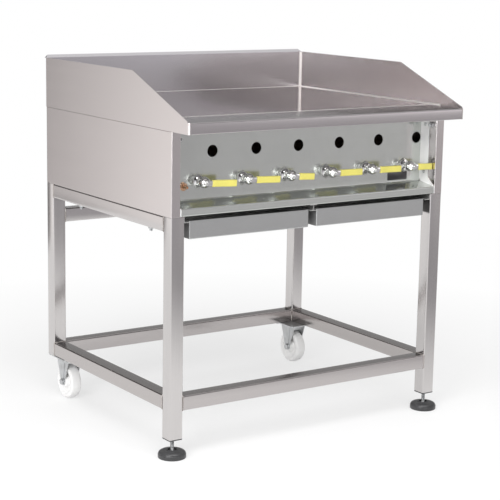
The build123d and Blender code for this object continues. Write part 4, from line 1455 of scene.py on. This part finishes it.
@dataclass(kw_only=True)
class GasTrain(SubAssembly):
    """Manifold, inlet, injectors, burners and their rails inside the casing."""

    flats: float = 27 * MM
    collar: float = 12 * MM
    collar_chamfer: float = 1.2 * MM
    nut: float = 8 * MM
    nut_bore: float = 10 * MM
    nut_chamfer: float = 1.4 * MM
    bore: float = 7.9 * MM
    pipe: float = 10.5 * MM
    pitch: float = 1.814 * MM
    thread_depth: float = 1.0 * MM

    def inlet(self) -> Shape:
        """A bulkhead fitting: a hexagon inside, a nut outside the back panel and a pipe thread.

        Returns:
            The inlet.
        """
        low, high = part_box("gas_inlet")
        length = high.y - low.y - self.collar
        shape = hexagon(self.flats, self.collar, self.collar_chamfer, self.bore)
        nut = hexagon(self.flats, self.nut, self.nut_chamfer, self.nut_bore)
        pipe = thread(self.pipe, length, self.pitch, self.thread_depth, self.bore)
        shape += nut.moved((0, 0, self.collar + SHEET)) + pipe.moved((0, 0, self.collar))
        return shape.facing(((low.x + high.x) / 2, low.y, (low.z + high.z) / 2), Facing.BACK)

    def build(self) -> None:
        """Dress the gas pieces and make the inlet."""
        self.dress("heat_stained", "burners", "gas_manifold")
        self.dress("zinc_sheet", "burner_rails")
        self.dress("brass", "injectors")
        self.remake("gas_inlet", "turned", self.inlet(), "brass", "brass")


# The studio


@dataclass(frozen=True)
class Lamp:
    """One soft rectangular lamp: its place, the point that it faces, its size and its watts."""

    name: str
    spot: Point
    aim: Point
    size: Span
    power: float

    def build(self) -> None:
        """Add the lamp."""
        data = bpy.data.lights.new(self.name, "AREA")
        data.shape, data.size, data.size_y, data.energy = "RECTANGLE", *self.size, self.power
        lamp = bpy.data.objects.new(self.name, data)
        lamp.location = self.spot
        ahead = Vector(self.aim) - Vector(self.spot)
        lamp.rotation_euler = ahead.to_track_quat("-Z", "Y").to_euler()
        bpy.context.scene.collection.objects.link(lamp)


@dataclass
class Studio:
    """White sweep, soft lamps and the camera of the photograph's view.

    The stops give the room's tone from left to right, behind the object and in front of it. The
    pairs from dim_run on say where a soft change starts and ends, in metres on the floor and as
    a part of the view direction in the room.
    """

    eye: Point = (-2.3916, -3.5372, 1.2948)
    yaw: float = 34.2
    pitch: float = 11.04
    roll: float = 1.06
    lens: float = 108.37
    sensor: float = 36.0
    floor_half: float = 2.6
    floor_pale: Colour = (0.82, 0.82, 0.82)
    floor_dim: Colour = (0.42, 0.41, 0.42)
    white: Colour = (1.0, 1.0, 1.0)
    ceiling_tone: Colour = (0.85, 0.84, 0.84)
    sweep_level: float = 1.25
    room_level: float = 0.7
    sweep_loss: float = 0.7
    ceiling_gain: float = 0.42
    left_loss: float = 0.22
    patch_gain: float = 2.6
    glow_shares: Span = (0.55, 0.45)
    frame_right: Span = (0.724, 0.69)
    dim_run: Span = (0.7, 2.0)
    glow_run: Span = (0.9, 1.9)
    front_to_back: Span = (-0.35, 0.25)
    ceiling_run: Span = (0.45, 0.8)
    left_run: Span = (0.1, -0.2)
    left_foot: Span = (-0.15, -0.02)
    patch_foot: Span = (-0.07, 0.0)
    patch_top: Span = (0.2, 0.12)
    patch_ahead: Span = (-0.3, -0.6)
    patch_right: Span = (0.5, 0.62)
    sweep_rise: Span = (0.0, 0.14)
    back_stops: Stops = (
        (0.14, (1.0, 0.98, 0.97)), (1.0, (0.8, 0.8, 0.8)), (0.242, (1.0, 0.97, 0.96)),
        (0.288, (0.28, 0.27, 0.27)), (0.42, (0.16, 0.15, 0.15)), (0.56, (0.4, 0.39, 0.39)),
        (0.66, (0.8, 0.8, 0.8)),
    )
    front_stops: Stops = (
        (0.1, (0.8, 0.79, 0.82)), (1.0, (0.4, 0.39, 0.4)), (0.25, (0.92, 0.9, 0.94)),
        (0.4, (0.36, 0.35, 0.36)), (0.7, (0.36, 0.35, 0.365)), (0.85, (0.42, 0.405, 0.41)),
    )
    lamps: tuple[Lamp, ...] = (
        Lamp("key", (-3.85, -2.1, 1.7), (0, 0, 0.6), (2.2, 2.5), 112),
        Lamp("overhead", (-0.9, -2.0, 3.4), (0, 0, 0), (3.6, 3.0), 105),
    )

    def camera(self) -> None:
        """Place the camera from its yaw, pitch and roll."""
        yaw, pitch, roll = np.radians([self.yaw, self.pitch, self.roll])
        flat = np.array([math.sin(yaw), math.cos(yaw), 0.0]) * math.cos(pitch)
        ahead = flat - np.array([0.0, 0.0, math.sin(pitch)])
        right = np.array([math.cos(yaw), -math.sin(yaw), 0.0])
        up = np.cross(right, ahead)
        side = math.cos(roll) * right + math.sin(roll) * up
        top = math.cos(roll) * up - math.sin(roll) * right
        data = bpy.data.cameras.new("camera")
        data.lens, data.sensor_width = self.lens, self.sensor
        camera = bpy.data.objects.new("camera", data)
        matrix = np.eye(4)
        matrix[:3] = np.column_stack([side, top, -ahead, self.eye])
        camera.matrix_world = Matrix(matrix.tolist())
        bpy.context.scene.collection.objects.link(camera)
        bpy.context.scene.camera = camera

    def floor(self) -> None:
        """Add the pale floor that takes the shadow, dimmer past the frame's right edge."""
        span = np.array([-self.floor_half, self.floor_half])
        y, x = np.meshgrid(span, span, indexing="ij")
        shape = grid(np.stack([x, y, np.zeros_like(x)], -1))
        mesh = bpy.data.meshes.new("floor")
        mesh.from_pydata(shape.points.tolist(), [], shape.faces)
        g = Surface("pale_floor", {"Roughness": 0.9, "Specular IOR Level": 0.0})
        spot = g.coordinates("Object")
        part = g.split(spot)
        right, nearer = self.frame_right
        dim = g.remap(part["X"] * right - part["Y"] * nearer, *self.dim_run)
        reach = g.node("ShaderNodeVectorMath", {"operation": "LENGTH"}, {0: spot}, "Value")
        g.wear({"Base Color": g.blend(dim, self.floor_pale, self.floor_dim)})
        pale = g.blend(dim, self.white, self.floor_dim)
        glow = g.node("ShaderNodeEmission", inputs={"Color": pale})
        near, far = self.glow_shares
        shown = g.seen() * (near + g.remap(reach, *self.glow_run) * far)
        layers = {0: shown, 1: Field(g, g.shader.outputs[0]), 2: glow}
        g.feed(g.tree.nodes["Material Output"].inputs["Surface"],
               g.node("ShaderNodeMixShader", inputs=layers))
        mesh.materials.append(g.material)
        floor = bpy.data.objects.new("floor", mesh)
        bpy.context.scene.collection.objects.link(floor)

    def world(self) -> None:
        """White sweep behind and beside the object, dimmer room in front and overhead."""
        world = bpy.data.worlds.new("sweep")
        world.use_nodes = True
        bpy.context.scene.world = world
        g = Graph(world.node_tree)
        part = g.split(g.coordinates("Generated"))
        x, y, z = part["X"], part["Y"], part["Z"]
        across = {"Fac": x * 0.5 + 0.5}
        back = g.node("ShaderNodeValToRGB", {"stops": self.back_stops}, across)
        front = g.node("ShaderNodeValToRGB", {"stops": self.front_stops}, across)
        around = g.blend(g.remap(y, *self.front_to_back), front, back)
        ceiling = g.remap(z, *self.ceiling_run)
        left = g.remap(x, *self.left_run) * g.remap(z, *self.left_foot)
        level = g.remap(z, *self.patch_foot) * g.remap(z, *self.patch_top)
        ahead, right = g.remap(y, *self.patch_ahead), g.remap(x, *self.patch_right)
        patch = level * ahead * right * self.patch_gain
        height = 1 - g.remap(z, *self.sweep_rise) * self.sweep_loss + ceiling * self.ceiling_gain
        height = height - left * self.left_loss + patch
        seen, sky = g.seen(), g.tree.nodes["Background"].inputs
        room = g.blend(ceiling, around, self.ceiling_tone)
        g.feed(sky["Color"], g.blend(seen, self.white, room))
        g.feed(sky["Strength"], seen * height * self.sweep_level + (1 - seen) * self.room_level)

    def build(self) -> None:
        """Set up the camera, floor, world and lamps."""
        bpy.context.scene.view_settings.view_transform = "Standard"
        self.camera()
        self.floor()
        self.world()
        for lamp in self.lamps:
            lamp.build()


def main() -> None:
    """Build every sub-assembly in order."""
    logging.basicConfig(level=logging.INFO, format="%(message)s")
    finishes = Finishes()
    Stand(finishes=finishes).build()
    for side in ("left", "right"):
        LevellingFoot(finishes=finishes, side=side).build()
        Castor(finishes=finishes, side=side).build()
    for assembly in (Fixings, Casing, ControlPanel, GasTaps, DripTrays, GasTrain):
        assembly(finishes=finishes).build()
    Studio().build()


if __name__ == "__main__":
    main()
